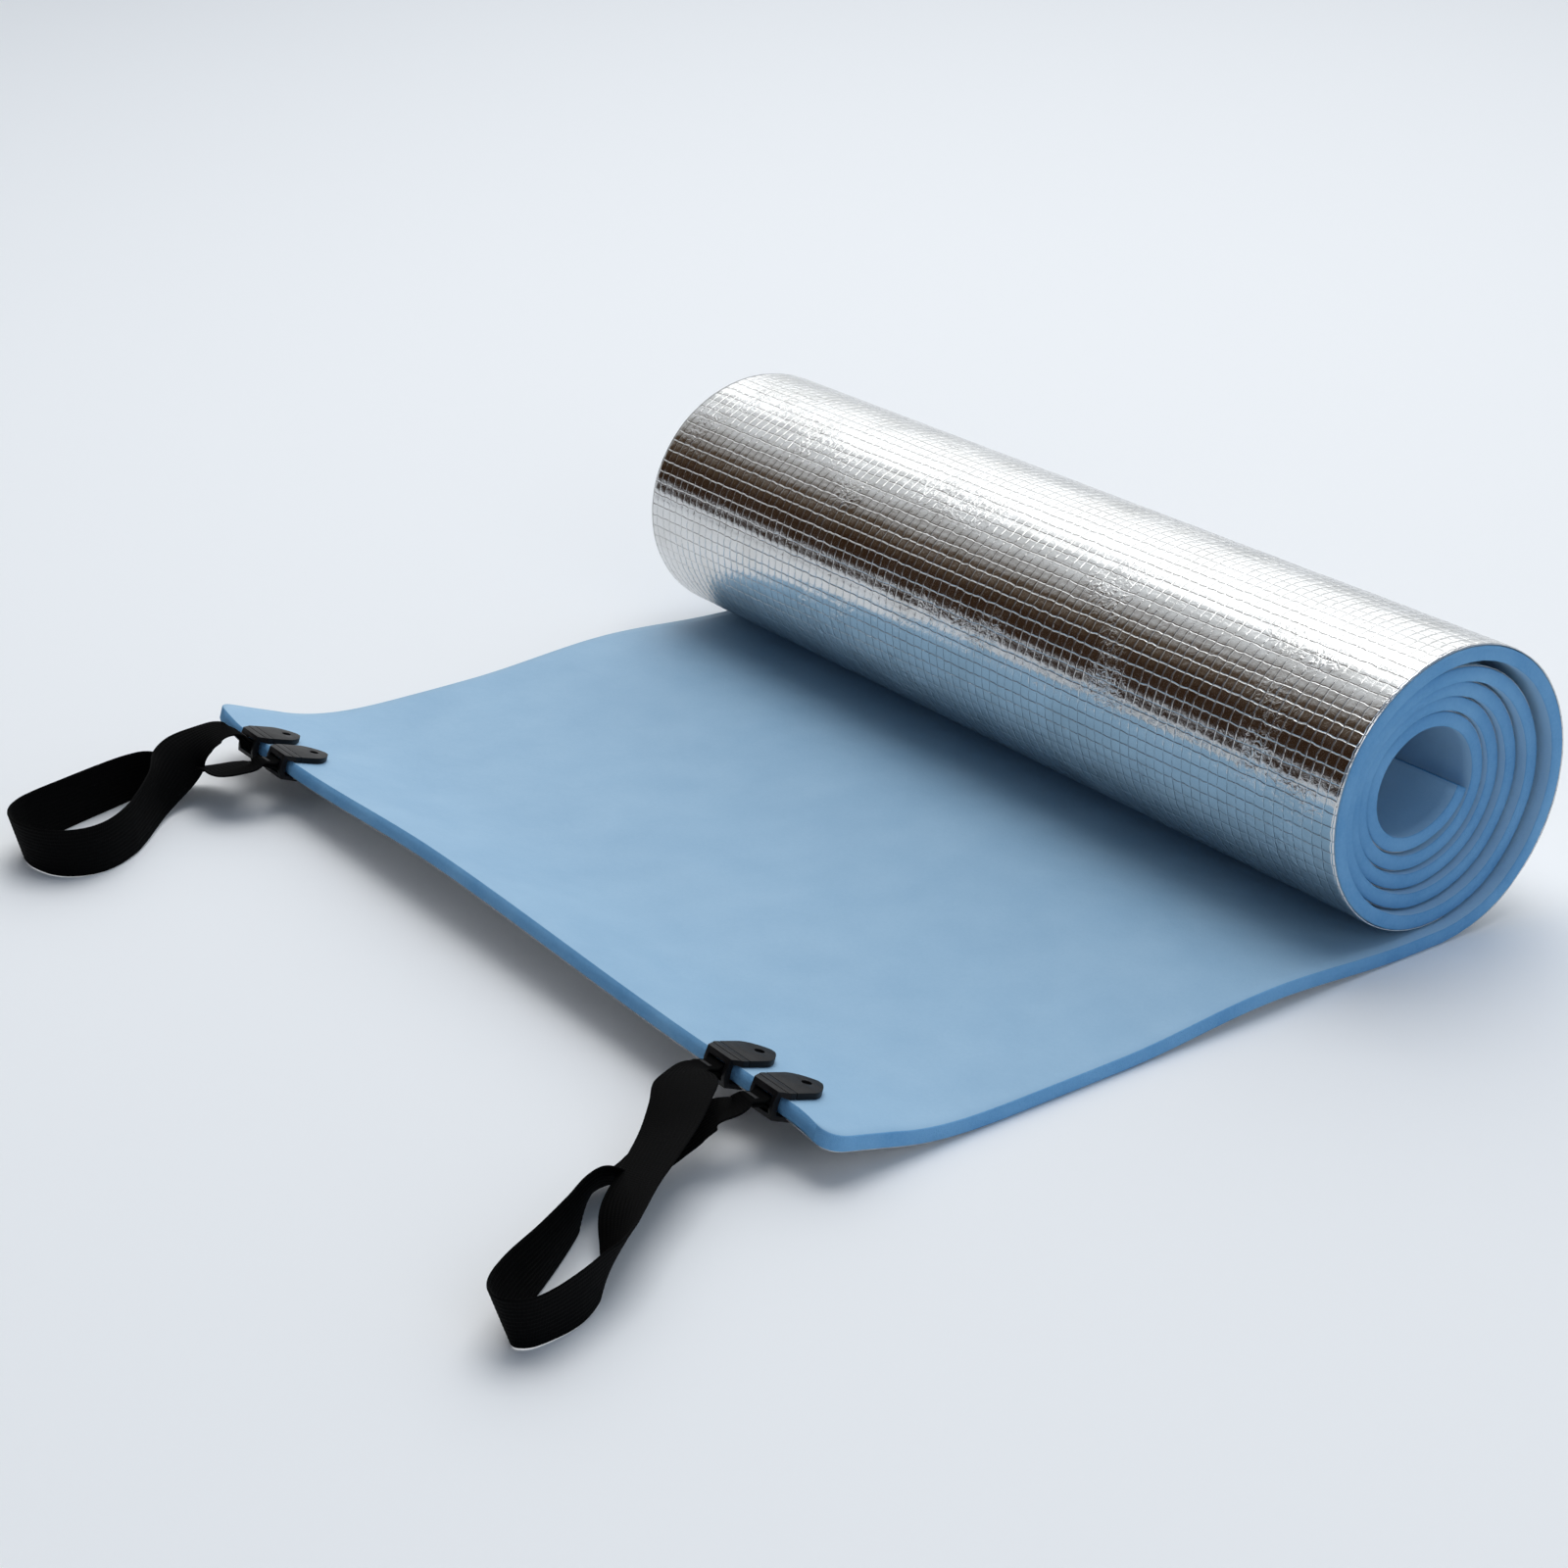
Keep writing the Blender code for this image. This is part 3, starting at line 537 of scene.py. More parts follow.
# %% Emboss tree
LINE_PART, CRUMPLE_SIZE = 0.17, 22 * MM
emboss = bpy.data.node_groups.new("embossed grid", "GeometryNodeTree")
emboss.interface.new_socket("Geometry", in_out="INPUT", socket_type="NodeSocketGeometry")
for title, value in (("Pitch", GRID_PITCH), ("Depth", 0.22 * MM), ("Crumple", 0.6 * MM)):
    socket = emboss.interface.new_socket(title, in_out="INPUT", socket_type="NodeSocketFloat")
    socket.default_value = value
socket = emboss.interface.new_socket("Material", in_out="INPUT",
                                     socket_type="NodeSocketMaterial")
emboss.interface.new_socket("Geometry", in_out="OUTPUT", socket_type="NodeSocketGeometry")
given = node(emboss, "NodeGroupInput")
raised = []
for title in ("along", "across"):
    distance = node(emboss, "GeometryNodeInputNamedAttribute", {"data_type": "FLOAT"})
    distance.inputs["Name"].default_value = title
    cells = node(emboss, "ShaderNodeMath", {"operation": "DIVIDE"},
                 in_0=distance.outputs["Attribute"], in_1=given.outputs["Pitch"])
    offset = node(emboss, "ShaderNodeMath", {"operation": "PINGPONG"}, in_0=cells.outputs[0],
                  in_1=0.5)
    near = node(emboss, "ShaderNodeMath", {"operation": "GREATER_THAN"}, in_0=offset.outputs[0],
                in_1=LINE_PART)
    raised.append(near.outputs[0])
line = node(emboss, "ShaderNodeMath", {"operation": "MINIMUM"}, in_0=raised[0], in_1=raised[1])
where = node(emboss, "GeometryNodeInputPosition")
crush = node(emboss, "ShaderNodeTexNoise", Vector=where.outputs[0], Scale=1 / CRUMPLE_SIZE,
             Detail=3.0)
crush_amount = node(emboss, "ShaderNodeMath", {"operation": "MULTIPLY"},
                    in_0=crush.outputs["Fac"], in_1=given.outputs["Crumple"])
line_depth = node(emboss, "ShaderNodeMath", {"operation": "MULTIPLY"}, in_0=line.outputs[0],
                  in_1=given.outputs["Depth"])
total = node(emboss, "ShaderNodeMath", {"operation": "ADD"}, in_0=line_depth.outputs[0],
             in_1=crush_amount.outputs[0])
outer_only = node(emboss, "GeometryNodeInputNamedAttribute", {"data_type": "FLOAT"})
outer_only.inputs["Name"].default_value = "outer"
outward = node(emboss, "ShaderNodeMath", {"operation": "MULTIPLY"}, in_0=total.outputs[0],
               in_1=outer_only.outputs["Attribute"])
facing = node(emboss, "GeometryNodeInputNormal")
move = node(emboss, "ShaderNodeVectorMath", {"operation": "SCALE"}, in_0=facing.outputs[0],
            Scale=outward.outputs[0])
placed = node(emboss, "GeometryNodeSetPosition", Geometry=given.outputs["Geometry"],
              Offset=move.outputs[0])
real = node(emboss, "GeometryNodeRealizeInstances", Geometry=placed.outputs[0])
painted = node(emboss, "GeometryNodeSetMaterial", Geometry=real.outputs[0],
               Material=given.outputs["Material"])
node(emboss, "NodeGroupOutput", Geometry=painted.outputs[0])


def apply_tree(thing, tree, **values):
    """Run a Geometry Nodes tree on an object and keep its result as a plain mesh."""
    step = thing.modifiers.new(tree.name, "NODES")
    step.node_group = tree
    for item in tree.interface.items_tree:
        if item.in_out == "INPUT" and item.name in values:
            step[item.identifier] = values[item.name]
    graph = bpy.context.evaluated_depsgraph_get()
    made = bpy.data.meshes.new_from_object(thing.evaluated_get(graph))
    thing.modifiers.remove(step)
    thing.data = made
    return made


apply_tree(outer_film, emboss, Material=film)
for piece, cad_nodes in ((open_film, ["foil_facing_open"]), (inner_film, []),
                         (outer_film, ["foil_facing_rolled"])):
    if cad_nodes:
        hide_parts(*cad_nodes)
    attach(piece, "mat")
print("film embossed:", len(outer_film.data.polygons), "faces")

# %% [markdown]
# ## The clips
#
# Each clip is a folded moulding: a bottom leaf, a neck with a slot and a round bar for the
# webbing, and a top leaf on a thin hinge, snapped over a pin. It could be one extruded profile,
# but its width changes along its length, so it is lofted through a few sections, the slot is
# cut with a Boolean, and a Bevel rounds every edge as a mould would. The frame used here lies on
# the pad's front edge: a across, b into the pad, c up from its middle.

# %% Clip shapes
CLIPS = ("near_inner", "near_outer", "far_outer", "far_inner")
FIT = 0.3 * MM
LEAF_THICK, UNDER_THICK, LEAF_HALF = 2.6 * MM, 1.8 * MM, 10 * MM
LEAF_START, LEAF_SHOULDER, LEAF_TIP = 3.4 * MM, 12 * MM, 22.4 * MM
LEAF_BOTTOM = HALF + FIT
LEAF_TOP = LEAF_BOTTOM + LEAF_THICK
PIN_AT = 15.5 * MM
NECK_BACK, NECK_FRONT, NECK_HALF = -2.2 * MM, -5 * MM, 7.4 * MM
NECK_EASE, TOP_EASE, ROOT_AT = 0.9 * MM, 0.3 * MM, 0.4 * MM
WINDOW_HALF, WINDOW_HEIGHT, WINDOW_BACK, CUT_SPARE = 5.5 * MM, 7.4 * MM, -0.3 * MM, 3 * MM
GROOVE_FROM, GROOVE_TO, GROOVE_SUNK = -0.9 * MM, -0.5 * MM, 0.25 * MM
BAR_AT, BAR_RADIUS = (NECK_BACK + NECK_FRONT) / 2, 1.2 * MM
PIN_RADIUS, PIN_HEAD_RADIUS, HOLE_RADIUS = 1.5 * MM, 1.75 * MM, 2.15 * MM
PIN_TOP = LEAF_TOP - 0.9 * MM
BAR_SUNK, PIN_SUNK, HEAD_HIGH = 0.8 * MM, 1.2 * MM, 1.6 * MM
EDGE_ROUND, LEAF_ROUND, BAR_ROUND, PIN_ROUND, HEAD_ROUND = (
    0.45 * MM, 0.5 * MM, 0.1 * MM, 0.2 * MM, 0.35 * MM)


def clip_middle(name):
    """x of a clip's middle in the pad's own coordinates, from its CAD box."""
    low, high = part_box("clip_base_" + name)
    return (low.x + high.x) / 2 - PAD_X


def clip_place(x):
    turn = Matrix.Rotation(-CURL_SLOPE, 4, "X")
    return Matrix.Translation(ORIGIN + Vector((x, 0, CURL_HEIGHT + HALF))) @ turn


def strip(stations):
    """A bent strip: each station is (inner b, c), (outer b, c), half width."""
    bm = bmesh.new()
    rings = []
    for inner, outer, half in stations:
        corners = ((-half, *inner), (half, *inner), (half, *outer), (-half, *outer))
        rings.append([bm.verts.new(corner) for corner in corners])
    for one, two in zip(rings, rings[1:]):
        for i in range(4):
            j = (i + 1) % 4
            bm.faces.new((one[i], one[j], two[j], two[i]))
    bm.faces.new(rings[0][::-1])
    bm.faces.new(rings[-1])
    return bm


def cylinder(radius, start, end, segments=32):
    start, end = Vector(start), Vector(end)
    bm = bmesh.new()
    turn = (end - start).to_track_quat("Z", "Y").to_matrix().to_4x4()
    bmesh.ops.create_cone(bm, cap_ends=True, segments=segments, radius1=radius, radius2=radius,
                          depth=(end - start).length,
                          matrix=Matrix.Translation((start + end) / 2) @ turn)
    return bm


def block(low, high):
    bm = bmesh.new()
    size = [b - a for a, b in zip(low, high)]
    middle = [(a + b) / 2 for a, b in zip(low, high)]
    bmesh.ops.create_cube(bm, size=1, matrix=Matrix.Translation(middle)
                          @ Matrix.Diagonal((*size, 1)))
    return bm


def moulded(name, bm, cutters, round_by):
    """A mesh with the cutters cut from it and its edges rounded."""
    body = mesh_object(name, bm, [plastic])
    tools = []
    for cutter in cutters:
        tool = mesh_object(name + " cutter", cutter, [])
        step = body.modifiers.new("cut", "BOOLEAN")
        step.operation, step.object = "DIFFERENCE", tool
        tools.append(tool)
    edge = body.modifiers.new("rounded edges", "BEVEL")
    edge.width, edge.segments, edge.limit_method = round_by, 3, "ANGLE"
    edge.angle_limit = radians(28)
    bpy.context.view_layer.update()
    graph = bpy.context.evaluated_depsgraph_get()
    made = bpy.data.meshes.new_from_object(body.evaluated_get(graph))
    for thing in (body, *tools):
        bpy.data.objects.remove(thing)
    return made


def leaf_half(b):
    """Half width of a leaf at b: straight sides, then a rounded arrow's tip."""
    if b <= LEAF_SHOULDER:
        return LEAF_HALF
    t = min(1.0, (b - LEAF_SHOULDER) / (LEAF_TIP + 0.5 * MM - LEAF_SHOULDER))
    return LEAF_HALF * (1 - t ** 1.75) ** 0.8


def leaf_stations(low, high, start, steps=12):
    """Sections of a flat leaf from its start to its tip."""
    spots = [start, LEAF_SHOULDER - 2 * MM]
    spots += [LEAF_SHOULDER + (LEAF_TIP - LEAF_SHOULDER) * i / steps for i in range(steps + 1)]
    return [((b, low), (b, high), leaf_half(b)) for b in spots]


def base_parts():
    """Bottom leaf, neck and top root, then the bar and the headed pin."""
    low, high = -LEAF_BOTTOM, LEAF_BOTTOM
    under, over = low - UNDER_THICK, LEAF_TOP
    bottom = leaf_stations(low, under, LEAF_START)[::-1]
    neck = [((NECK_BACK, low), (NECK_FRONT + NECK_EASE, under), NECK_HALF + TOP_EASE),
            ((NECK_BACK, low / 2), (NECK_FRONT, low / 2), NECK_HALF),
            ((NECK_BACK, high / 2), (NECK_FRONT, high / 2), NECK_HALF),
            ((NECK_BACK, high), (NECK_FRONT + NECK_EASE, over - TOP_EASE), NECK_HALF + TOP_EASE),
            ((ROOT_AT, high), (ROOT_AT, over), LEAF_HALF),
            ((LEAF_START - FIT, high), (LEAF_START - FIT, over), LEAF_HALF)]
    window = block((-WINDOW_HALF, NECK_FRONT - CUT_SPARE, -WINDOW_HEIGHT / 2),
                   (WINDOW_HALF, WINDOW_BACK, WINDOW_HEIGHT / 2))
    groove = block((-LEAF_HALF, GROOVE_FROM, over - GROOVE_SUNK),
                   (LEAF_HALF, GROOVE_TO, over + CUT_SPARE))
    shell = moulded("clip shell", strip(bottom + neck), [window, groove], EDGE_ROUND)
    reach = WINDOW_HALF + BAR_SUNK
    bar = moulded("clip bar", cylinder(BAR_RADIUS, (-reach, BAR_AT, 0), (reach, BAR_AT, 0)), [],
                  BAR_ROUND)
    pin = moulded("pin", cylinder(PIN_RADIUS, (0, PIN_AT, low - PIN_SUNK),
                                  (0, PIN_AT, PIN_TOP)), [], PIN_ROUND)
    head = moulded("head", cylinder(PIN_HEAD_RADIUS, (0, PIN_AT, PIN_TOP - HEAD_HIGH),
                                    (0, PIN_AT, PIN_TOP)), [], HEAD_ROUND)
    return [shell, bar, pin, head]


def leaf_parts():
    """The top leaf with its hole."""
    hole = cylinder(HOLE_RADIUS, (0, PIN_AT, 0), (0, PIN_AT, 2 * LEAF_TOP), 48)
    return [moulded("clip leaf", strip(leaf_stations(LEAF_BOTTOM, LEAF_TOP, LEAF_START)),
                    [hole], LEAF_ROUND)]


def join_at(name, meshes, place):
    """One object at the origin from several meshes, all moved by place."""
    bm = bmesh.new()
    for mesh in meshes:
        bm.from_mesh(mesh)
    bm.transform(place)
    return mesh_object(name, bm, [plastic])


# %% Place the clips
base_meshes, leaf_meshes = base_parts(), leaf_parts()
for name in CLIPS:
    place = clip_place(clip_middle(name))
    for kind, meshes, body in (("base", base_meshes, "mat"),
                               ("leaf", leaf_meshes, name + "_leaf")):
        piece = join_at(f"moulded_{kind}_{name}", meshes, place)
        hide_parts(f"clip_{kind}_{name}")
        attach(piece, body)
        print(piece.name, len(piece.data.polygons), "faces")

# %% [markdown]
# ## The webbing
#
# Each loop is one length of 25 mm elastic, gathered and sewn round a clip's bar at both ends.
# Cloth simulation would settle it somewhere else than in the picture, so the loop follows the
# CAD model's route: points with a tilt, joined by a smooth curve. Its section is not a plain
# rectangle: elastic has rubber threads in it that raise lengthwise ribs, so the section is
# rippled, about one rib to each 1.9 mm, and the weave follows a UV map in metres.

# %% Webbing routes and builder
WEB_WIDTH, WEB_THICK, EYE_WIDTH, GATHER_WIDTH = 25 * MM, 1.2 * MM, 9.8 * MM, 15 * MM
EYE_WRAP, EYE_STEPS = 112, 24
TACK_AT, SEWN_TAIL = -5.8 * MM, 2.6 * MM
TACK_WIDE, TACK_LONG, TACK_SUNK = 6 * MM, 2 * MM, 0.12 * MM
RIBS, RIB_STEPS, RIB_HEIGHT, SELVEDGE = 13, 4, 0.34 * MM, 0.25
# Each route runs from the clip whose strand lies on top to the other clip of the pair: x, y, z
# in mm, then the tilt in degrees. At 0 and 180 the webbing lies flat, and at 90 on edge. Each
# end is given as the clip, how far its eye is lifted, and the tilt there, in degrees.
NEAR_EYES = (("near_inner", 0, 0), ("near_outer", 0, 180))
NEAR_ROUTE = [
    (185, -17, 27.8, 1), (191.5, -23.5, 27.8, 5), (200, -32, 26.4, 11), (210, -44, 23.5, 17),
    (222, -61, 21, 22), (233, -77, 18.5, 28), (245, -88, 15.8, 46), (253, -95, 14.2, 58),
    (259, -101.5, 13.5, 66), (264, -109, 12.9, 78), (269.5, -121, 12.7, 82),
    (272.3, -134.5, 12.7, 78), (271.8, -144, 12.7, 75), (266.5, -149.4, 12.7, 74),
    (258.5, -147, 12.7, 74), (249.5, -136, 12.7, 79), (239.5, -118.5, 12.7, 87),
    (228.5, -101, 12.7, 94), (219, -87.5, 12.6, 101), (210.5, -77, 10.5, 128),
    (206.5, -65, 7.2, 158), (205.5, -53, 9, 167), (204, -41, 12, 171),
    (204.5, -30, 16, 174), (208, -21.5, 20.8, 177), (212.5, -16.5, 24.3, 180)]
FAR_EYES = (("far_outer", 34, 180), ("far_inner", 0, 180))
FAR_ROUTE = [
    (-207.5, -13, 33.2, 180), (-209.5, -18, 32.6, 178), (-211.5, -25, 30, 170),
    (-212.5, -34, 25, 150), (-209.5, -43.5, 18.5, 124), (-202, -53, 15, 104),
    (-192, -62.6, 13.8, 98), (-182, -72, 13.2, 96), (-173, -81.5, 12.9, 93),
    (-165.5, -94, 12.7, 88), (-163.5, -105, 12.7, 84), (-167, -115, 12.7, 82),
    (-174, -121.9, 12.7, 80), (-183, -125.8, 12.7, 78), (-192, -127, 12.7, 77),
    (-201.5, -125, 12.7, 78), (-208.5, -119, 12.7, 80), (-213.5, -110, 12.7, 84),
    (-219.5, -91, 12.7, 88), (-224.5, -73, 12.7, 90), (-228, -58, 12.7, 94),
    (-229, -47, 12.6, 104), (-225, -36.5, 12, 126), (-218, -27, 13.3, 152),
    (-210, -22, 16, 166), (-203, -20.5, 18.5, 172), (-195.5, -20.5, 20.5, 176),
    (-187.5, -20.5, 22, 178), (-180.5, -16.5, 24.4, 180)]


def eye_place(x, lift_angle):
    return clip_place(x) @ Matrix.Translation((0, BAR_AT, 0)) @ Matrix.Rotation(
        -radians(lift_angle), 4, "X")


def eye_points(x, side, lift_angle):
    """The webbing's line round a clip's bar as (point, width direction, width)."""
    place = eye_place(x, lift_angle)
    ring = BAR_RADIUS + FIT + WEB_THICK / 2
    ply = (WEB_THICK + FIT) / 2
    line = [(TACK_AT - SEWN_TAIL, -ply), (TACK_AT, -ply), (TACK_AT + SEWN_TAIL, -ply)]
    for i in range(EYE_STEPS + 1):
        angle = radians(EYE_WRAP * (2 * i / EYE_STEPS - 1))
        line.append((ring * cos(angle), ring * sin(angle)))
    line += [(TACK_AT + SEWN_TAIL, ply), (TACK_AT, ply), (TACK_AT - SEWN_TAIL, ply)]
    return [(place @ Vector((0, b, c)), Vector((side, 0, 0)), EYE_WIDTH) for b, c in line]


def curve_through(points, steps):
    """Catmull-Rom values between the given tuples of numbers."""
    ends = [tuple(2 * a - b for a, b in zip(points[0], points[1]))]
    tail = [tuple(2 * a - b for a, b in zip(points[-1], points[-2]))]
    line = ends + points + tail
    found = []
    for p0, p1, p2, p3 in zip(line, line[1:], line[2:], line[3:]):
        for i in range(steps):
            t = i / steps
            found.append(tuple(
                0.5 * (2 * b + (c - a) * t + (2 * a - 5 * b + 4 * c - d) * t * t
                       + (3 * b - a - 3 * c + d) * t ** 3)
                for a, b, c, d in zip(p0, p1, p2, p3)))
    found.append(points[-1])
    return found


def web_line(route, first, second, steps=11):
    """The line of one loop, from the eye first to the eye second, each (x, lift, tilt)."""
    (x_a, lift_a, tilt_a), (x_b, lift_b, tilt_b) = first, second
    line = eye_points(x_a, cos(radians(tilt_a)), lift_a)
    back = eye_points(x_b, -cos(radians(tilt_b)), lift_b)[::-1]
    knots = [(*line[-1][0], tilt_a, EYE_WIDTH)]
    for i, (x, y, z, tilt) in enumerate(route):
        width = GATHER_WIDTH if i in (0, len(route) - 1) else WEB_WIDTH
        knots.append((*(ORIGIN + Vector((x, y, z)) * MM), tilt, width))
    knots += [(*back[0][0], tilt_b, EYE_WIDTH)]
    curve = curve_through(knots, steps)
    for before, knot, after in zip(curve, curve[1:], curve[2:]):
        along = (Vector(after[0:3]) - Vector(before[0:3])).normalized()
        left = Vector((-along.y, along.x, 0)).normalized()
        upward_way = along.cross(left)
        tilt = radians(knot[3])
        line.append((Vector(knot[0:3]), left * cos(tilt) + upward_way * sin(tilt), knot[4]))
    return line + back


def ribbon(name, line):
    """A closed ribbed ribbon with a UV map in metres."""
    count = RIBS * RIB_STEPS
    bm = bmesh.new()
    weave = bm.loops.layers.uv.new("weave")
    rings, lengths = [], []
    travelled, last = 0.0, len(line) - 1
    for i, (point, across, width) in enumerate(line):
        if i:
            travelled += (point - line[i - 1][0]).length
        lengths.append(travelled)
        along = (line[min(i + 1, last)][0] - line[max(i - 1, 0)][0]).normalized()
        across = (across - along * across.dot(along)).normalized()
        up = along.cross(across)
        ring = []
        for j in range(count + 1):
            rib = RIB_HEIGHT * (0.5 - 0.5 * cos(2 * pi * j / RIB_STEPS))
            edge = SELVEDGE if j in (0, count) else 1.0
            ring.append((across * width * (j / count - 0.5), (WEB_THICK / 2 - RIB_HEIGHT + rib)
                         * edge))
        below = [point + side - up * height for side, height in ring]
        above = [point + side + up * height for side, height in ring[::-1]]
        rings.append([bm.verts.new(corner) for corner in below + above])
    size = len(rings[0])
    for row, (one, two) in enumerate(zip(rings, rings[1:])):
        for i in range(size):
            j = (i + 1) % size
            face = bm.faces.new((one[i], one[j], two[j], two[i]))
            places = [abs(k - size / 2) * 2 / size * WEB_WIDTH for k in (i, i + 1, i + 1, i)]
            runs = (lengths[row], lengths[row], lengths[row + 1], lengths[row + 1])
            for loop, v, u in zip(face.loops, places, runs):
                loop[weave].uv = (u, v)
    for end in (rings[0], rings[-1]):
        bmesh.ops.triangulate(bm, faces=[bm.faces.new(end)])
    print(name, round(travelled, 3), "m long")
    return mesh_object(name, bm, [webbing])


# %% [markdown]
# ## The bar tacks
#
# A bar tack is a dense row of short stitches across the webbing. One stitch is a small round
# bar, and a Geometry Nodes tree sets a row of them side by side.

# %% Stitch tree
row_tree = bpy.data.node_groups.new("stitch row", "GeometryNodeTree")
for title, kind, value in (("Stitches", "NodeSocketInt", 17),
                           ("Row width", "NodeSocketFloat", TACK_WIDE),
                           ("Stitch length", "NodeSocketFloat", TACK_LONG),
                           ("Thread radius", "NodeSocketFloat", 0.21 * MM)):
    socket = row_tree.interface.new_socket(title, in_out="INPUT", socket_type=kind)
    socket.default_value = value
row_tree.interface.new_socket("Material", in_out="INPUT", socket_type="NodeSocketMaterial")
row_tree.interface.new_socket("Geometry", in_out="OUTPUT", socket_type="NodeSocketGeometry")
given = node(row_tree, "NodeGroupInput")
half_row = node(row_tree, "ShaderNodeMath", {"operation": "MULTIPLY"},
                in_0=given.outputs["Row width"], in_1=-0.5)
step_size = node(row_tree, "ShaderNodeMath", {"operation": "DIVIDE"},
                 in_0=given.outputs["Row width"], in_1=given.outputs["Stitches"])
begin = node(row_tree, "ShaderNodeCombineXYZ", X=half_row.outputs[0])
step_way = node(row_tree, "ShaderNodeCombineXYZ", X=step_size.outputs[0])
spots = node(row_tree, "GeometryNodeMeshLine", Count=given.outputs["Stitches"])
row_tree.links.new(begin.outputs[0], spots.inputs["Start Location"])
row_tree.links.new(step_way.outputs[0], spots.inputs["Offset"])
stitch = node(row_tree, "GeometryNodeMeshCylinder", {"fill_type": "TRIANGLE_FAN"}, Vertices=8,
              Radius=given.outputs["Thread radius"], Depth=given.outputs["Stitch length"])
laid = node(row_tree, "GeometryNodeInstanceOnPoints", Points=spots.outputs[0],
            Instance=stitch.outputs["Mesh"])
laid.inputs["Rotation"].default_value = (pi / 2, 0.0, 0.09)
real = node(row_tree, "GeometryNodeRealizeInstances", Geometry=laid.outputs[0])
painted = node(row_tree, "GeometryNodeSetMaterial", Geometry=real.outputs[0],
               Material=given.outputs["Material"])
node(row_tree, "NodeGroupOutput", Geometry=painted.outputs[0])

# %% Place webbing and tacks
for side, route, eyes in (("near", NEAR_ROUTE, NEAR_EYES), ("far", FAR_ROUTE, FAR_EYES)):
    places = [(clip_middle(clip), eye_lift, tilt) for clip, eye_lift, tilt in eyes]
    strap = ribbon(f"elastic_loop_{side}", web_line(route, *places))
    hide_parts("elastic_strap_" + side)
    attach(strap, side + "_strap")
    for clip, eye_lift, _ in eyes:
        holder = mesh_object("tack_stitches_" + clip, bmesh.new(), [])
        apply_tree(holder, row_tree, Material=thread)
        face = WEB_THICK + FIT / 2 + TACK_SUNK
        place = eye_place(clip_middle(clip), eye_lift) @ Matrix.Translation((0, TACK_AT, face))
        holder.data.transform(place)
        holder.data.shade_smooth()
        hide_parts("bar_tack_" + clip)
        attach(holder, side + "_strap")
        print(holder.name, len(holder.data.polygons), "faces")

# %% [markdown]
# ## Floor, light and camera
#
# The floor is a plain pale sheet and the light is soft and high, mostly from behind and from the
# left, so that the roll shades the mat in front of it. A film this bright shows whatever is
# around it, so the world is pale behind the roll and a warm dark brown on the camera's side,
# which gives it a dark band to reflect. The world's right half is a cool grey: the film never
# shows it from the camera's place, and it fills the cut edges with bluish light.

# %% Floor
FLOOR_HALF = 40
floor_paint, tree, shader = new_material("pale studio floor")
shader.inputs["Base Color"].default_value = colour("#f4f5f6")
shader.inputs["Roughness"].default_value = 0.9
bm = bmesh.new()
bmesh.ops.create_grid(bm, x_segments=1, y_segments=1, size=FLOOR_HALF)
floor = mesh_object("studio_floor", bm, [floor_paint])

# %% World and lights
world = bpy.data.worlds.new("soft studio")
bpy.context.scene.world = world
world.use_nodes = True
tree = world.node_tree
way = node(tree, "ShaderNodeTexCoord").outputs["Generated"]
BRIGHT_SIDE = Vector((-0.32, 0.68, 0.58))
toward = node(tree, "ShaderNodeVectorMath", {"operation": "DOT_PRODUCT"}, in_0=way,
              in_1=BRIGHT_SIDE)
ramp = node(tree, "ShaderNodeValToRGB", Fac=toward.outputs["Value"])
ramp.color_ramp.elements[0].position = 0.02
ramp.color_ramp.elements[0].color = colour("#332317")
ramp.color_ramp.elements[1].position = 0.60
ramp.color_ramp.elements[1].color = colour("#e4e8eb")
middle = ramp.color_ramp.elements.new(0.24)
middle.color = colour("#574839")
right_side = node(tree, "ShaderNodeSeparateXYZ", Vector=way)
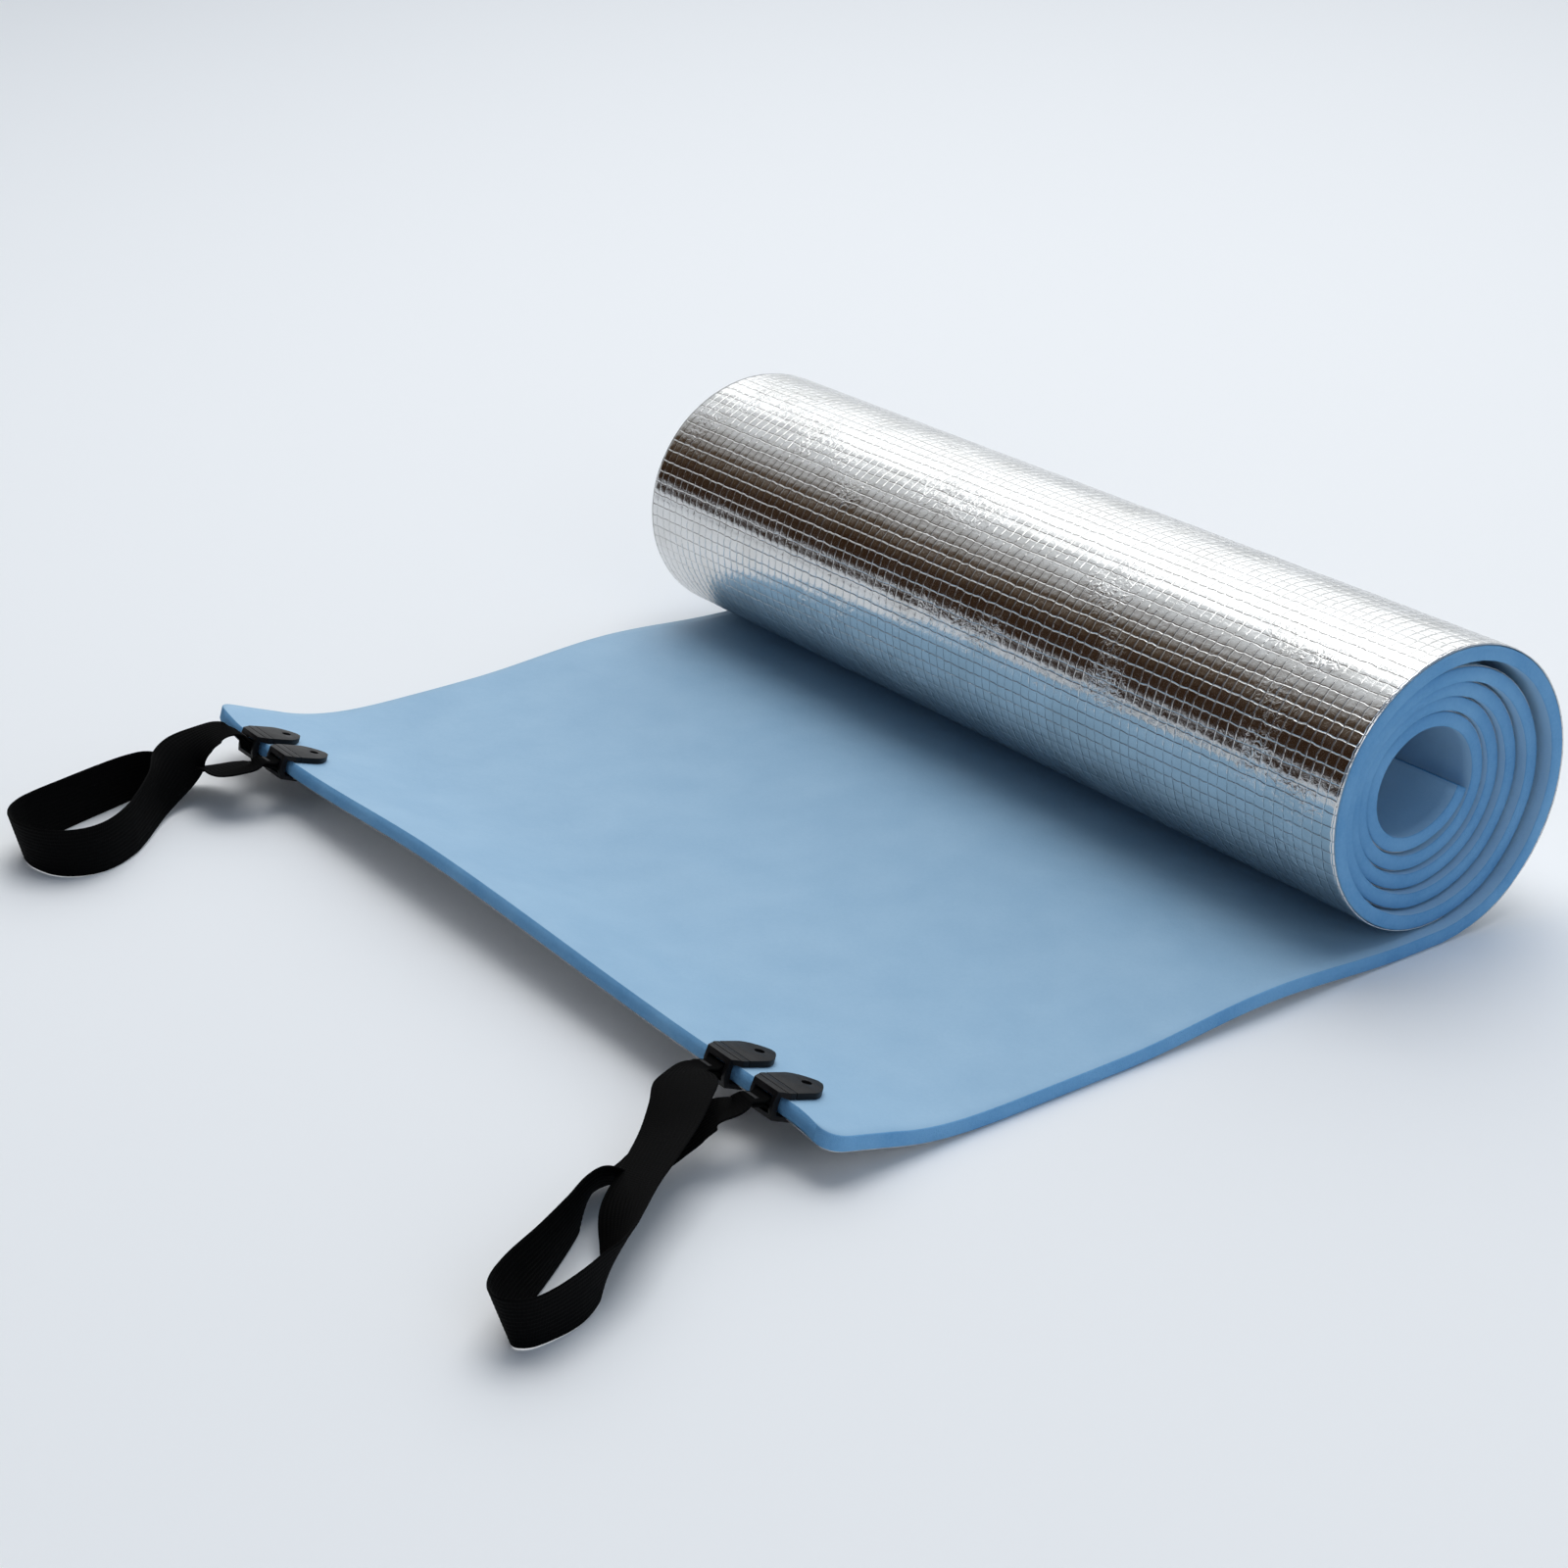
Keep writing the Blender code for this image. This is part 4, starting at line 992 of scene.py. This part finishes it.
to_right = node(tree, "ShaderNodeMapRange", Value=right_side.outputs["X"], in_1=-0.1, in_2=0.5)
sides = node(tree, "ShaderNodeMix", {"data_type": "RGBA"}, Factor=to_right.outputs["Result"])
tree.links.new(ramp.outputs["Color"], sides.inputs[6])
sides.inputs[7].default_value = colour("#8799ae")
tree.links.new(sides.outputs[2], tree.nodes["Background"].inputs["Color"])
tree.nodes["Background"].inputs["Strength"].default_value = 1.0
LIGHT_TARGET = Vector((0, 0.02, 0.05))


def softbox(name, spot, size, power):
    lamp = bpy.data.lights.new(name, "AREA")
    lamp.shape, lamp.size, lamp.energy = "SQUARE", size, power
    made = bpy.data.objects.new(name, lamp)
    made.location = spot
    made.rotation_euler = (LIGHT_TARGET - Vector(spot)).to_track_quat("-Z", "Y").to_euler()
    bpy.context.collection.objects.link(made)


softbox("top_softbox", (-0.3, 0.5, 2.4), 1.8, 24)
softbox("back_softbox", (-1.7, 1.7, 1.9), 2.6, 17)
softbox("right_softbox", (2.2, -0.4, 1.0), 1.2, 5)

# %% Camera
CAMERA_SPOT = Vector((1001.3, -568.0, 588.1)) * MM
CAMERA_TURN, CAMERA_TILT, CAMERA_ROLL = radians(53.87), radians(24.18), radians(-0.42)
LENS = 68.24
camera = bpy.data.cameras.new("photograph's view")
camera.sensor_width, camera.lens, camera.clip_start = 36, LENS, 0.01
view = bpy.data.objects.new("photograph's view", camera)
bpy.context.collection.objects.link(view)
back = Vector((sin(CAMERA_TURN) * cos(CAMERA_TILT), -cos(CAMERA_TURN) * cos(CAMERA_TILT),
               sin(CAMERA_TILT)))
right = back.cross(Vector((0, 0, -1))).normalized()
above = back.cross(right)
turned_right = right * cos(CAMERA_ROLL) + above * sin(CAMERA_ROLL)
turned_up = above * cos(CAMERA_ROLL) - right * sin(CAMERA_ROLL)
axes = Matrix((turned_right, turned_up, back)).transposed().to_4x4()
view.matrix_world = Matrix.Translation(ORIGIN + CAMERA_SPOT) @ axes
bpy.context.scene.camera = view
bpy.context.scene.view_settings.view_transform = "Standard"
